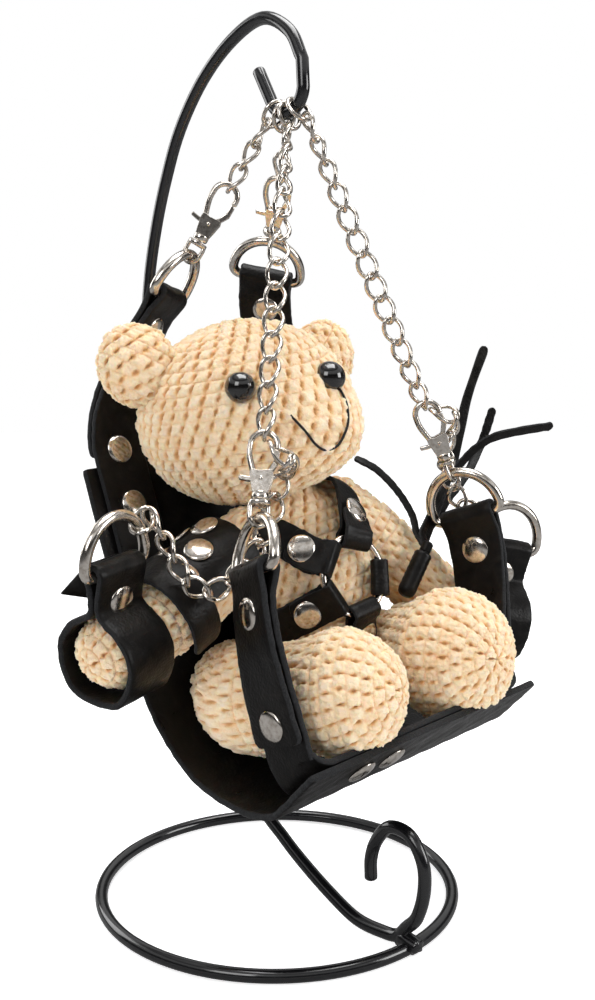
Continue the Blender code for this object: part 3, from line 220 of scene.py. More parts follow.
def skins(name, shapes):
    """One object out of several closed skins; each of them is (rings of points, closed to a loop)."""
    verts, faces = [], []
    for rings, closed in shapes:
        start, count, rows = len(verts), len(rings[0]), len(rings)
        verts += [tuple(point) for ring in rings for point in ring]
        for i in range(rows if closed else rows - 1):
            low, high = start + i * count, start + (i + 1) % rows * count
            faces += [(low + j, low + (j + 1) % count, high + (j + 1) % count, high + j) for j in range(count)]
        if not closed:
            faces.append(tuple(start + j for j in range(count - 1, -1, -1)))
            faces.append(tuple(start + (rows - 1) * count + j for j in range(count)))
    return new_piece(name, verts, faces)


def shell(name, rings):
    return skins(name, [(rings, False)])


def pattern(tree, kind, place, scale, **inputs):
    """A procedural texture over the piece."""
    node = tree.nodes.new(f"ShaderNodeTex{kind}")
    tree.links.new(place, node.inputs["Vector"])
    node.inputs["Scale"].default_value = scale
    for key, value in inputs.items():
        node.inputs[key].default_value = value
    return node


def roughen(tree, shader, height, distance, strength, before=None):
    """A bump of the given height in metres, on top of the one before."""
    bump = tree.nodes.new("ShaderNodeBump")
    bump.inputs["Distance"].default_value = distance
    bump.inputs["Strength"].default_value = strength
    tree.links.new(height, bump.inputs["Height"])
    if before:
        tree.links.new(before, bump.inputs["Normal"])
    tree.links.new(bump.outputs["Normal"], shader.inputs["Normal"])
    return bump.outputs["Normal"]


def dress(piece, body, slot, finishes, *nodes):
    """Gives a piece its finishes in its material slots and its body, and hides the CAD nodes it stands for; the
    slot name is not used.
    """
    piece.data.materials.clear()
    for one in finishes:
        piece.data.materials.append(one)
    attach(piece, body)
    if nodes:
        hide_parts(*nodes)


def hook_point(degrees):
    """A point of the hook's bend; 270 is its lowest."""
    t = math.radians(degrees)
    return spot(0, HOOK_Y + BEND * math.cos(t), HOOK_Z + BEND * math.sin(t))


def hook_way(degrees):
    """The way the rod runs at a point of the hook's bend."""
    t = math.radians(degrees)
    return Vector((0, -math.sin(t), math.cos(t)))


enamel, tree, shader, place = finish("gloss_black_enamel", (0.006, 0.006, 0.007), Roughness=0.16, Coat_Weight=0.6,
                                     Coat_Roughness=0.08)
cloud = pattern(tree, "Noise", place, 260.0, Detail=2.0).outputs["Fac"]
ramp(tree, cloud, ((0.3, 0.12), (0.7, 0.26)), shader.inputs["Roughness"])
roughen(tree, shader, cloud, 0.00012, 0.5)

curl = [(y - BASE, z + 3.15) for y, z in ((17.7, 17.5), (17.7, 24.5), (15.1, 31.7), (9.3, 38.0), (0.5, 37.6),
                                          (-5.2, 29.8), (-5.8, 20.1), (-3.0, 10.5), (1.4, 5.4), (5.1, 1.4),
                                          (11.1, 0.0), (24.1, 0.0), (37.3, 4.9), (51.2, 11.9), (61.8, 18.4),
                                          (74.5, 28.0))]
rise = [(BACK * a, HOOK_Z * b) for a, b in ((0.47, 0.22), (0.80, 0.36), (0.955, 0.47), (1.0, 0.59), (1.0, 0.69))]
rise += [(BACK - a, HOOK_Z + b)
         for a, b in ((3.0, -62.0), (8.2, -41.0), (15.1, -22.7), (24.2, -5.2), (38.2, 10.7))]
arch = [(HOOK_Y + a, HOOK_Z + b) for a, b in ((28.4, 21.5), (12.0, 25.6), (-1.2, 18.9), (-7.6, 8.4))]
bend = [hook_point(185 + 7.25 * i) for i in range(21)]
bend += [bend[-1] + hook_way(330) * (0.0035 * i) for i in range(1, 5)]
rod_route = smooth_route([spot(0, y, z) for y, z in curl + rise + arch], 6) + bend
rod = shell("stand_rod_enamelled", wire_rings(rod_route, ROD / 1000, 20))
dress(rod, "stand", "gloss_black_enamel", [enamel], "stand_rod")

weld = shell("weld", wire_rings([spot(0, y, z) for y, z in ((-67.6, 3.0), (-66.0, 3.6), (-64.0, 4.2), (-62.2, 4.4),
                                                            (-60.8, 4.2))], 0.0028, 16))
for vert in weld.data.vertices:
    out = vert.co - spot(0, -64.5, 3.6)
    vert.co += out * (0.10 * math.sin(out.y * 2600) + 0.06 * math.cos(out.x * 2100 + out.z * 1700))
bpy.ops.object.select_all(action="DESELECT")
bpy.ops.mesh.primitive_torus_add(major_radius=BASE / 1000, minor_radius=ROD / 1000, major_segments=160,
                                 minor_segments=20, location=spot(0, 0, 2.15))
base_ring = bpy.context.object
bpy.ops.object.transform_apply(location=True, rotation=False, scale=False)
weld.select_set(True)
bpy.ops.object.join()
base_ring.name = "base_ring_enamelled"
bpy.ops.object.shade_smooth()
dress(base_ring, "stand", "gloss_black_enamel", [enamel], "base_ring")


# The bear: crocheted in the round from thick cream chenille yarn and stuffed firm. Every stitch is a soft pillow
# with a slot beside it, painted shade makes the colour darker and more tan in the slots and between the pillows,
# and the pile makes the whole surface fuzzy.
SEAT = 60.5
SEAT_PROFILE = ((33, 102.4), (15, 48.5), (2.5, 21.5), (-17, 4.6), (-40, 0), (-54, 2.2), (-60.4, 6.8),
                (-66.7, 13.1), (-73, 19.4))


def seat_spot(x, y, z):
    """A point whose height is counted from the seat's lowest point."""
    return spot(x, y, z + SEAT)


def turned(axis, degrees):
    return Matrix.Rotation(math.radians(degrees), 3, axis)


SEAT_ROLL = turned("Y", -3.6)
ROLL_CENTRE = seat_spot(0, 0, 38)
HEAD_CENTRE, HEAD = seat_spot(-13, 2, 118.5), Vector((39.4, 31.2, 31.7)) / 1000
HEAD_TURN = turned("Z", -7) @ turned("Y", -10.9)
MUZZLE_WAY, MUZZLE_REACH, MUZZLE_SPREAD = Vector((0.38, -0.95, -0.35)).normalized(), 0.0101, 0.59
TORSO_CENTRE, TORSO = seat_spot(4, -11.5, 57), Vector((27.0, 22.0, 37.0)) / 1000
TORSO_TURN = turned("X", -12) @ turned("Y", -8)
EAR = Vector((14.5, 8.0, 13.5)) / 1000
EARS = (("right", seat_spot(-52.4, 10.5, 134.5), 35, 2), ("left", seat_spot(23.3, 1.0, 137.0), -35, 4))
LIMBS = {
    "arm_right": (((-19, -6, 74), (-42, -7, 61), (-62, -9, 51.5), (-78, -11, 47.5)), (12, 13, 12, 12)),
    "arm_left": (((22, -8, 82), (33, -15, 71), (43, -23, 59.5), (58, -30, 47), (75, -40, 39)),
                 (12, 13, 12.5, 11.5, 12)),
    "leg_right": (((-27, -10, 25), (-33, -24, 25), (-30, -42, 29), (-24.5, -57, 32)), (16, 18, 17.5, 20.5)),
    "leg_left": (((28, -12, 29), (31, -27, 28), (30, -42, 33), (28.5, -56.5, 35)), (16, 17, 18, 23)),
}
FINE, PILLOW, SUNK, OFF_SEAT = 0.48, 1.45, 0.72, 1.7

yarn, tree, shader, place = finish(
    "cream_chenille", (0.93, 0.75, 0.52), Roughness=0.95, Sheen_Weight=0.35, Sheen_Roughness=0.6,
    Sheen_Tint=(1, 0.93, 0.8, 1), Specular_IOR_Level=0.15, Subsurface_Weight=0.35,
    Subsurface_Radius=(1.0, 0.45, 0.18), Subsurface_Scale=0.0022)
# Painted shade: the colour turns darker and more tan the deeper a point lies in a slot or between pillows, with
# the pile's noise mixed in.
depth = tree.nodes.new("ShaderNodeAttribute")
depth.attribute_name = "stitch_depth"
pile = pattern(tree, "Noise", place, 900.0, Detail=3.0, Roughness=0.65).outputs["Fac"]
patch = pattern(tree, "Noise", place, 130.0, Detail=2.0).outputs["Fac"]
hair = pattern(tree, "Noise", place, 2600.0, Detail=2.0).outputs["Fac"]
deep = tree.nodes.new("ShaderNodeMath")
deep.operation = "MULTIPLY_ADD"
tree.links.new(pile, deep.inputs[0])
deep.inputs[1].default_value = 0.5
tree.links.new(depth.outputs["Fac"], deep.inputs[2])
painted_groove_shade = ramp(tree, deep.outputs["Value"], ((0.16, (0.99, 0.83, 0.63)), (0.38, (0.97, 0.75, 0.50)),
                                          (0.66, (0.92, 0.60, 0.31)), (1.0, (0.76, 0.43, 0.18))))
washed = ramp(tree, patch, ((0.35, (0.95, 0.92, 0.88)), (0.65, 1)))
tree.links.new(mix(tree, 1.0, painted_groove_shade, washed, "MULTIPLY"), shader.inputs["Base Color"])
soft = roughen(tree, shader, pile, 0.0007, 0.8)
roughen(tree, shader, hair, 0.0003, 0.6, before=soft)


def rolled(point):
    """The seat hangs a little lower on the bear's right."""
    return ROLL_CENTRE + SEAT_ROLL @ (point - ROLL_CENTRE)


def inside_seat(points, clearance):
    """Lifts those of the points that would sink into the sling's leather on to its inner face."""
    level = np.array(SEAT_ROLL.transposed())
    centre = np.array(ROLL_CENTRE)
    local = (points - centre) @ level.T + centre
    curve = [np.array(p[:]) for p in smooth_route([seat_spot(0, y, z) for y, z in SEAT_PROFILE], 12)]
    for start, end in zip(curve, curve[1:]):
        length = np.linalg.norm(end - start)
        way = (end - start) / length
        inward = np.array((0, -way[2], way[1]))
        if inward[2] < 0 and abs(inward[2]) > 0.2 or inward[1] > 0 and abs(inward[2]) <= 0.2:
            inward = -inward
        along = (local - start) @ way
        above = (local - start) @ inward
        sunk = (along > -1e-4) & (along < length + 1e-4) & (above > -0.03) & (above < clearance)
        local += np.where(sunk, clearance - above, 0)[:, None] * inward
    return (local - centre) @ level + centre


def stitches(grid, poles, pitch, slot, lean, seed):
    """How deep each point lies in a slot between the stitches, and how far it swells with a stitch's pillow."""
    rows, turns = grid.shape[:2]
    steps = np.linalg.norm(np.diff(grid, axis=0), axis=2).mean(axis=1)
    run = np.concatenate(([0], np.cumsum(steps))) * 1000 + np.linalg.norm(grid[0, 0] - np.array(poles[0])) * 1000
    round_about = np.linalg.norm(np.roll(grid, -1, axis=1) - grid, axis=2).sum(axis=1) * 1000
    turn = np.arange(turns)[None, :] / turns
    depth, swell = np.zeros((rows, turns)), np.zeros((rows, turns))
    count = max(2, round(run[-1] / pitch[1]))
    row_tall = run[-1] / (count + 0.2)
    for k in range(count):
        at = (k + 0.6) * row_tall
        in_row = max(5, round(np.interp(at, run, round_about) / pitch[0]))
        width = round_about[:, None] / in_row
        phase = 0.5 * k + math.sin(seed * 7.1 + k * 12.9898) * 0.10
        off = run[:, None] - at
        place = turn * in_row - phase + lean * off / np.maximum(width, 2.5)
        number = np.round(place)
        beside = (place - number) * width
        wide = slot[0] * (1 + 0.25 * np.sin(number * 3.7 + k * 1.9 + seed))
        long = slot[1] * (1 + 0.20 * np.sin(number * 2.3 + k * 4.1 + seed))
        depth += np.exp(-(beside ** 2) / (2 * wide ** 2) - off ** 2 / (2 * long ** 2))
        across = 2 * (place - np.floor(place)) - 1
        along_row = np.clip(2 * off / row_tall, -1, 1)
        puff = 0.82 + 0.18 * np.sin(np.floor(place) * 5.3 + k * 2.7 + seed)
        swell = np.maximum(swell, puff * np.sqrt((1 - np.abs(across) ** 3) * (1 - np.abs(along_row) ** 3)))
    return np.clip(depth, 0, 1.1), swell


def crochet(word, form, pitch, slot, lean, seed, seated=False):
    """Works stitches into a stuffed form, which is rows x turns of points and the two points that close it."""
    grid, poles = form
    rows, turns = grid.shape[:2]
    along = np.zeros_like(grid)
    along[1:-1] = grid[2:] - grid[:-2]
    along[0] = grid[1] - poles[0]
    along[-1] = poles[1] - grid[-2]
    normal = np.cross(np.roll(grid, -1, axis=1) - np.roll(grid, 1, axis=1), along)
    normal /= np.linalg.norm(normal, axis=2)[:, :, None] + 1e-12
    if ((grid - grid.mean(axis=(0, 1))) * normal).sum() < 0:
        normal = -normal
    depth, swell = stitches(grid, poles, pitch, slot, lean, seed)
    flat = (grid + normal * ((PILLOW * swell - SUNK - depth) / 1000)[:, :, None]).reshape(-1, 3)
    if seated:
        flat = inside_seat(flat, OFF_SEAT / 1000)
    verts = [tuple(poles[0])] + [tuple(p) for p in flat] + [tuple(poles[1])]
    base, faces = 1 + (rows - 1) * turns, []
    for j in range(turns):
        k = (j + 1) % turns
        faces += [(0, 1 + j, 1 + k), (base + k, base + j, len(verts) - 1)]
    for low in range(1, base, turns):
        high = low + turns
        faces += [(low + j, high + j, high + (j + 1) % turns, low + (j + 1) % turns) for j in range(turns)]
    made = new_piece(f"{word}_crocheted", verts, faces)
    bpy.ops.object.shade_smooth()
    # The painted shade for the colour, stored on each point: darker in the slots and in the gaps between the
    # pillows.
    mark = made.data.attributes.new("stitch_depth", "FLOAT", "POINT")
    shaded = np.clip(depth * 0.9 + 0.30 * (1 - swell), 0, 1)
    mark.data.foreach_set("value", np.concatenate(([0.4], shaded.reshape(-1), [0.4])).astype(np.float32))
    for kind, size, strength in (("VORONOI", 0.0014, -0.0009), ("CLOUDS", 0.0007, 0.0005)):
        fuzz = bpy.data.textures.new(f"{word}_{kind.lower()}", kind)
        fuzz.noise_scale = size
        step = made.modifiers.new(kind.lower(), "DISPLACE")
        step.texture = fuzz
        step.texture_coords = "LOCAL"
        step.strength = strength
        step.mid_level = 0.35
        bpy.ops.object.modifier_apply(modifier=step.name)
    dress(made, "swing", "cream_chenille", [yarn], f"bear_{word}")
    return made


def rounded_form(centre, radii, turn, muzzle=False, fine=FINE):
    """Rows of a stuffed ball with unlike radii, with or without a muzzle that swells out of it."""
    around = int(2 * math.pi * max(radii.x, radii.y) * 1000 / fine)
    rows = int(math.pi * (radii.z + max(radii.x, radii.y)) / 2 * 1000 / fine)
    tall, t = np.meshgrid((np.arange(rows) + 0.5) * math.pi / rows, np.arange(around) * 2 * math.pi / around,
                          indexing="ij")

    def placed(ways):
        points = ways * np.array(radii)
        if muzzle:
            toward = np.array(MUZZLE_WAY)
            near = np.exp(-((ways - toward) ** 2).sum(axis=-1) / MUZZLE_SPREAD ** 2)
            points = points + near[..., None] * toward * MUZZLE_REACH
        return points @ np.array(turn).T + np.array(centre)

    way = np.stack((np.sin(tall) * np.sin(t), -np.sin(tall) * np.cos(t), np.cos(tall)), axis=2)
    return placed(way), placed(np.array(((0, 0, 1.0), (0, 0, -1.0))))


def limb_form(points, radii):
    """Rows of a stuffed limb with rounded ends along a route, with a radius for each of its points."""
    route = smooth_route([seat_spot(*p) for p in points], 24)
    sizes = [w.x / 1000 for w in smooth_route([Vector((r, 0, 0)) for r in radii], 24)]
    ways = directions(route)
    caps = []
    for end, sign in ((0, -1), (-1, 1)):
        steps = int(math.pi / 2 * sizes[end] * 1000 / FINE)
        leans = [(math.pi / 2) * (k + 0.5) / steps for k in range(steps)]
        caps.append([(route[end] + ways[end] * (sign * sizes[end] * math.cos(a)), ways[end],
                      sizes[end] * math.sin(a)) for a in leans])
    around = int(2 * math.pi * max(sizes) * 1000 / FINE)
    side = Vector((0, 0, 1))
    grid = []
    for point, way, size in caps[0] + list(zip(route, ways, sizes))[1:-1] + caps[1][::-1]:
        side = square(side, way)
        grid.append([p[:] for p in disc(point, side, way.cross(side), size, around)])
    ends = (route[0] - ways[0] * sizes[0], route[-1] + ways[-1] * sizes[-1])
    return np.array(grid), [np.array(e) for e in ends]


head = crochet("head", rounded_form(HEAD_CENTRE, HEAD, HEAD_TURN, muzzle=True, fine=0.53), pitch=(5.2, 4.5),
               slot=(0.42, 0.90), lean=0.38, seed=1)
torso = crochet("torso", rounded_form(TORSO_CENTRE, TORSO, TORSO_TURN, fine=0.6), pitch=(4.9, 4.4),
                slot=(0.42, 0.75), lean=0.45, seed=2, seated=True)
for side, centre, tilt, seed in EARS:
    ear = crochet(f"ear_{side}", rounded_form(centre, EAR, HEAD_TURN @ turned("Y", tilt)), pitch=(5.0, 4.6),
                  slot=(0.40, 0.75), lean=0.4, seed=seed)
for seed, (word, (points, radii)) in enumerate(LIMBS.items(), 10):
    leg = "leg" in word
    limb = crochet(word, limb_form(points, radii), pitch=(4.8, 4.4), slot=(0.35, 0.66) if leg else (0.34, 0.64),
                   lean=0.12, seed=seed, seated=leg)


# The chains and their fittings: curb chain of nickelled steel wire, cast trigger snap hooks with a sprung gate and
# an eye that swivels, and round wire D-rings. Each chain hangs from a round link on the stand's hook.
WIRE, LINK, LINK_HALF, LINK_TWIST, PLAY, SLACK = 0.75, 10.4, 3.2, 45, 0.7, 0.35
LINK_POINTS, EASE_LINKS = 26, 6
HANGER = 4.65
CLAW_WIRE, CLAW_HALF, CLAW, CLAW_TIP = 1.0, 4.3, 12.5, -5.2
BODY, CHEEK, CHEEK_SLOT, PIN_DOWN, GATE_HALF = 7.6, 1.9, 0.92, 3.0, 0.7
COLLAR, EYE, EYE_HALF, EYE_WIRE = 2.0, 8.0, 3.1, 0.8
DEE_WIRE, DEE_HALF, DEE_TALL, DEE_CORNER = 1.5, 13.0, 17.0, 3.0
DEE_THICK = DEE_WIRE * 1.2
GAP = 0.3

nickel, tree, shader, place = finish("nickel_plate", (0.60, 0.565, 0.52), Roughness=0.14, Metallic=1.0)
smear = pattern(tree, "Noise", place, 380.0, Detail=4.0, Roughness=0.6).outputs["Fac"]
wear = pattern(tree, "Noise", place, 700.0, Detail=3.0).outputs["Fac"]
ramp(tree, smear, ((0.3, 0.08), (0.72, 0.25)), shader.inputs["Roughness"])
ramp(tree, wear, ((0.32, (0.54, 0.485, 0.425)), (0.5, (0.72, 0.665, 0.60)), (0.7, (0.82, 0.775, 0.72))),
     shader.inputs["Base Color"])
roughen(tree, shader, smear, 0.00006, 0.4)


def nickelled(piece, *nodes, body="swing"):
    dress(piece, body, "nickel_plate", [nickel], *nodes)


def half_turn(steps):
    return [math.pi * i / steps for i in range(steps + 1)]


def wire_loop(route, radius, sides):
    """The rings of a round wire that closes on itself, in millimetres of radius."""
    middle = sum(route, Vector()) / len(route)
    rings = []
    for i, point in enumerate(route):
        way = (route[(i + 1) % len(route)] - route[i - 1]).normalized()
        out = square(point - middle, way)
        rings.append(disc(point, out, out.cross(way), radius / 1000, sides))
    return rings, True


def curb_link(top, way, across, length):
    """An oval wire whose two ends are turned against each other by an eighth of a turn each."""
    side = way.cross(across)
    route = []
    for i in range(LINK_POINTS):
        t = 2 * math.pi * i / LINK_POINTS
        turn = math.radians(LINK_TWIST) * math.cos(t)
        wide = across * math.cos(turn) + side * math.sin(turn)
        route.append(top + way * (length / 2 * (1 + math.cos(t))) + wide * (LINK_HALF / 1000 * math.sin(t)))
    return wire_loop(route, WIRE, 10)


def turn_between(start, end, way):
    """How far start turns about the way to lie along end."""
    return math.atan2(end.dot(way.cross(start)), end.dot(start))


def within_quarter(angle):
    """The same lie of an oval within a quarter turn of nought: it looks alike from its front and its back."""
    return (angle + math.pi / 2) % math.pi - math.pi / 2


def curb_chain(name, route, first_across, last_across, *nodes):
    """Links along a route of wire centres: they turn from the first one's flat side to lie flat to the camera, and
    on to the last one's."""
    lengths = [0.0]
    for a, b in zip(route, route[1:]):
        lengths.append(lengths[-1] + (b - a).length)

    def at(distance):
        i = max(0, min(len(lengths) - 2, int(np.searchsorted(lengths, distance)) - 1))
        return route[i].lerp(route[i + 1], (distance - lengths[i]) / (lengths[i + 1] - lengths[i]))

    bite = (2 * WIRE + SLACK) / 1000
    count = max(2, round((lengths[-1] - bite) / (LINK / 1000 - bite)))
    pitch = (lengths[-1] - bite) / count
    joints = [route[0]] + [at(bite / 2 + pitch * i) for i in range(1, count)] + [route[-1]]
    ways = [(b - a).normalized() for a, b in zip(joints, joints[1:])]
    bites = [0] + [bite / math.sqrt(max(0.3, (1 + a.dot(b)) / 2)) for a, b in zip(ways, ways[1:])] + [0]
    across = (first_across + ways[0].cross(first_across)) * math.sqrt(0.5)
    starts = []
    for way in ways:
        across = square(across, way)
        starts.append(across)
    last = within_quarter(turn_between(across, last_across, ways[-1]) - math.pi / 4)
    facing = []
    for way, across in zip(ways, starts):
        angle = turn_between(across, way.cross(TO_CAMERA), way)
        before = facing[-1] if facing else 0
        facing.append(before + within_quarter(angle - before))
    last += math.pi * round((facing[-1] - last) / math.pi)
    ease = min(EASE_LINKS, count - 1)
    links = []
    for i, (way, across) in enumerate(zip(ways, starts)):
        early, late = min(1, i / ease), min(1, (count - 1 - i) / ease)
        turn = facing[i] * early * late + last * (1 - late) * early
        wide = across * math.cos(turn) + way.cross(across) * math.sin(turn)
        back, fore = bites[i] / 2, bites[i + 1] / 2
        length = (joints[i + 1] - joints[i]).length + back + fore
        links.append(curb_link(joints[i] - way * back, way, wide, length))
    nickelled(skins(name, links), *nodes)


def dee(name, foot, pull, bar):
    """A D-ring of round wire, from the middle of its straight bar."""
    reach, rise, corner = DEE_HALF / 1000, (DEE_TALL - DEE_CORNER) / 1000, DEE_CORNER / 1000
    route = [foot + bar * (reach * math.cos(t)) + pull * (corner + rise * math.sin(t)) for t in half_turn(40)]
    for side, shares in ((-1, (0.2, 0.4, 0.6, 0.8, 1.0)), (1, (1.0, 0.8, 0.6, 0.4, 0.2))):
        for share in shares:
            t = share * math.pi / 2
            route.append(foot + bar * (side * (reach - corner * (1 - math.cos(t))))
                         + pull * (corner * (1 - math.sin(t))))
    nickelled(skins(f"{name}_wire", [wire_loop(route, DEE_THICK, 18)]), name)


def cut(piece, other, operation="DIFFERENCE"):
    """Cuts another shape away from the piece, or fuses it to the piece, and uses it up."""
    step = piece.modifiers.new("work", "BOOLEAN")
    step.operation = operation
    step.solver = "EXACT"
    step.object = other
    pick(piece)
    bpy.ops.object.modifier_apply(modifier=step.name)
    bpy.data.objects.remove(other, do_unlink=True)


def soften(piece, width, segments=2):
    """Rounds the edges a casting or a cut has."""
    step = piece.modifiers.new("rounded", "BEVEL")
    step.width = width / 1000
    step.segments = segments
    step.limit_method = "ANGLE"
    step.angle_limit = math.radians(35)
    step.use_clamp_overlap = True
    bpy.context.view_layer.objects.active = piece
    bpy.ops.object.modifier_apply(modifier=step.name)
    outward(piece)


class Hanging:
    """One of the four chains: where its round link sits on the hook and where its D-ring hangs."""

    def __init__(self, name, side, crown, station, hangs):
        self.name, self.side = name, side
        self.hook_way = hook_way(station)
        self.drop = square(crown - hook_point(station), self.hook_way)
        self.ring_middle = hook_point(station) + self.drop * ((HANGER - ROD - WIRE - GAP) / 1000)
        ring_foot = self.ring_middle + self.drop * (HANGER / 1000)
        self.down = (crown - ring_foot).normalized()
        self.pull = -self.down
        hangs = math.radians(hangs)
        self.face = square(Vector((-side * math.cos(hangs), -math.sin(hangs), 0)), self.pull)
        self.bar = self.pull.cross(self.face) * side
        self.bar_middle = crown - self.pull * (DEE_TALL / 1000)
        self.chain_top = ring_foot - self.down * ((2 * WIRE + PLAY) / 1000)
        eye_foot = crown + self.down * ((DEE_WIRE + EYE_WIRE + GAP) / 1000)
        self.claw_crown = eye_foot - self.down * ((CLAW + BODY + COLLAR + GAP + EYE) / 1000)
        self.claw_side = square(Vector((-math.sqrt(0.5), math.sqrt(0.5), 0)), self.down)
        self.claw_face = self.claw_side.cross(self.pull)

    def on_claw(self, across, up, face=0.0):
        """A point of the snap hook, in millimetres from the claw's crown."""
        return self.claw_crown + (self.claw_side * across + self.pull * up + self.claw_face * face) / 1000

    def plate(self, name, outline, half):
        """A flat piece of the snap hook, cut to an outline and twice half thick."""
        return shell(name, [[self.on_claw(a, up, face) for a, up in outline] for face in (-half, half)])


HANGINGS = [Hanging("front_right", -1, seat_spot(-46.8, -42.4, 88.4), 258, 14),
            Hanging("front_left", 1, seat_spot(46.8, -42.4, 95.8), 234, 18),
            Hanging("back_right", -1, seat_spot(-19.2, 23.5, 173.4), 306, 60),
            Hanging("back_left", 1, seat_spot(19.2, 23.5, 180.8), 282, 45)]


def turned_bar(name, foot, axis, profile, sides=24):
    """A lathe-turned shape: (height, radius) in millimetres along an axis."""
    side = axis.orthogonal().normalized()
    return shell(name, [disc(foot + axis * (height / 1000), side, axis.cross(side), radius / 1000, sides)
                        for height, radius in profile])


def snap_hook(hanging):
    """The cast body: claw, two cheeks round the gate, and the collar that the eye turns in."""
    name, foot, top = hanging.name, -CLAW - BODY, -CLAW
    body = hanging.plate(f"snap_hook_{name}_cast", (
        (-2.4, foot), (2.4, foot), (2.9, foot + 2.0), (3.7, top - 1.6), (3.3, top), (0.8, top - 0.5), (-3.3, top),
        (-3.7, top - 1.6), (-2.9, foot + 2.0)), CHEEK)
    cut(body, hanging.plate("slot", ((-6, foot + 1.7), (6, foot + 1.7), (6, top - 1.5), (2.2, top - 1.5),
                                     (2.2, top + 2), (-6, top + 2)), CHEEK_SLOT))
    soften(body, 0.42, 3)
    claw = [(-CLAW_HALF, CLAW_TIP)]
    claw += [(-CLAW_HALF * math.cos(t), CLAW_HALF * (math.sin(t) - 1)) for t in half_turn(12)]
    claw += [(CLAW_HALF, -7.0), (CLAW_HALF - 0.5, -9.5), (3.7 - CLAW_WIRE, top - 0.6), (2.5, top - 1.8)]
    route = smooth_route([hanging.on_claw(*point) for point in claw], 3)
    cut(body, shell("claw", wire_rings(route, CLAW_WIRE / 1000, 16, hanging.claw_face)), "UNION")
    cut(body, turned_bar("collar", hanging.on_claw(0, foot + 0.5), -hanging.pull, (
        (0, 2.2), (0.1, 2.5), (0.5, 2.7), (1.9, 2.7), (2.3, 2.55), (2.5, 2.2))), "UNION")
    cut(body, turned_bar("pin", hanging.on_claw(0, top - PIN_DOWN, -2.25), hanging.claw_face, (
        (0, 0.35), (0.12, 0.6), (0.3, 0.7), (4.2, 0.7), (4.38, 0.6), (4.5, 0.35)), 16), "UNION")
    shut = bmesh.new()
    shut.from_mesh(body.data)
    bmesh.ops.remove_doubles(shut, verts=shut.verts, dist=0.000004)
    bmesh.ops.dissolve_degenerate(shut, edges=shut.edges, dist=0.000001)
    shut.to_mesh(body.data)
    shut.free()
    outward(body)
    nickelled(body, f"snap_hook_{name}", body=f"hook_{name}")


def snap_gate(hanging):
    """The sprung gate: a flat bar up to the claw's tip, with a thumb lever on the other side of its pin."""
    name, pin, tip = hanging.name, -CLAW - PIN_DOWN, CLAW_TIP
    piece = hanging.plate(f"gate_{name}_cast", (
        (0, pin - 1.7), (1.7, pin - 0.9), (4.4, pin - 0.75), (6.9, pin - 0.3), (7.1, pin + 0.4), (6.9, pin + 1.1),
        (4.4, pin + 0.75), (1.7, pin + 0.8), (0.2, pin + 1.7), (-2.0, pin + 3.4), (-3.5, pin + 6.4),
        (-3.5, tip - 0.3), (-4.3, tip - 0.5), (-5.1, tip - 1.1), (-5.1, pin + 5.4), (-2.9, pin + 1.6),
        (-1.7, pin - 0.6)), GATE_HALF)
    soften(piece, 0.25)
    nickelled(piece, f"gate_{name}", body=f"gate_{name}")


def swivel_eye(hanging):
    """The bail that the D-ring hangs in, on a stem that turns in the collar."""
    head = -CLAW - BODY - COLLAR - GAP
    reach = head - EYE + EYE_HALF

    def at(a, up):
        return hanging.claw_crown + (hanging.face * a + hanging.pull * up) / 1000

    bail = [(-2.6, head - 0.5), (-EYE_HALF, head - 2.0), (-EYE_HALF, reach + 1.0)]
    bail += [(-EYE_HALF * math.cos(t), reach - EYE_HALF * math.sin(t)) for t in half_turn(8)]
    bail += [(EYE_HALF, reach + 1.0), (EYE_HALF, head - 2.0), (2.6, head - 0.5)]
    route = smooth_route([at(*point) for point in bail], 3)
    piece = shell("bail", wire_rings(route, EYE_WIRE / 1000, 14, hanging.bar))
    cut(piece, turned_bar("bridge", at(0, head), -hanging.pull, (
        (0, 3.0), (0.25, 3.4), (0.9, 3.5), (1.4, 3.3), (1.7, 2.7))), "UNION")
    cut(piece, turned_bar("stem", at(0, head - 0.8), hanging.pull, ((0, 1.0), (3.0, 1.0), (3.3, 0.7)), 16),
        "UNION")
    outward(piece)
    piece.name = f"swivel_eye_{hanging.name}_bent"
    nickelled(piece, f"swivel_eye_{hanging.name}")


for hanging in HANGINGS:
    name = hanging.name
    route = disc(hanging.ring_middle, hanging.drop, hanging.hook_way.cross(hanging.drop), HANGER / 1000, 40)
    nickelled(skins(f"hanger_ring_{name}_wire", [wire_loop(route, WIRE, 14)]), f"hanger_ring_{name}",
              body="hanger_rings")
    foot = hanging.claw_crown + hanging.down * ((CLAW_WIRE + WIRE + PLAY) / 1000)
    curb_chain(f"chain_{name}_links", [hanging.chain_top, foot], square(hanging.hook_way, hanging.down),
               hanging.claw_face, f"chain_{name}")
    snap_hook(hanging)
    snap_gate(hanging)
    swivel_eye(hanging)
    dee(f"dee_{name}", hanging.bar_middle, hanging.pull, hanging.bar)


# The sling: one hide of thick black leather bent into a seat, with 20 mm straps of the same hide folded over the
# D-rings and riveted. The grain side is satin, and the cut edges are left raw, so their fibres stand out dull.
THICK, STRAP, RIVET, RIVET_TALL, SPREAD = 2.2, 20.0, 5.0, 1.4, 0.5
SEAT_HALF, INSET = 56.0, 4.5
SIDEWAYS = Vector((1, 0, 0))
LAID = (THICK + GAP) / 1000
DOUBLED = (THICK + SPREAD) / 2000
ROUND_BAR = (DEE_WIRE + GAP + THICK / 2) / 1000

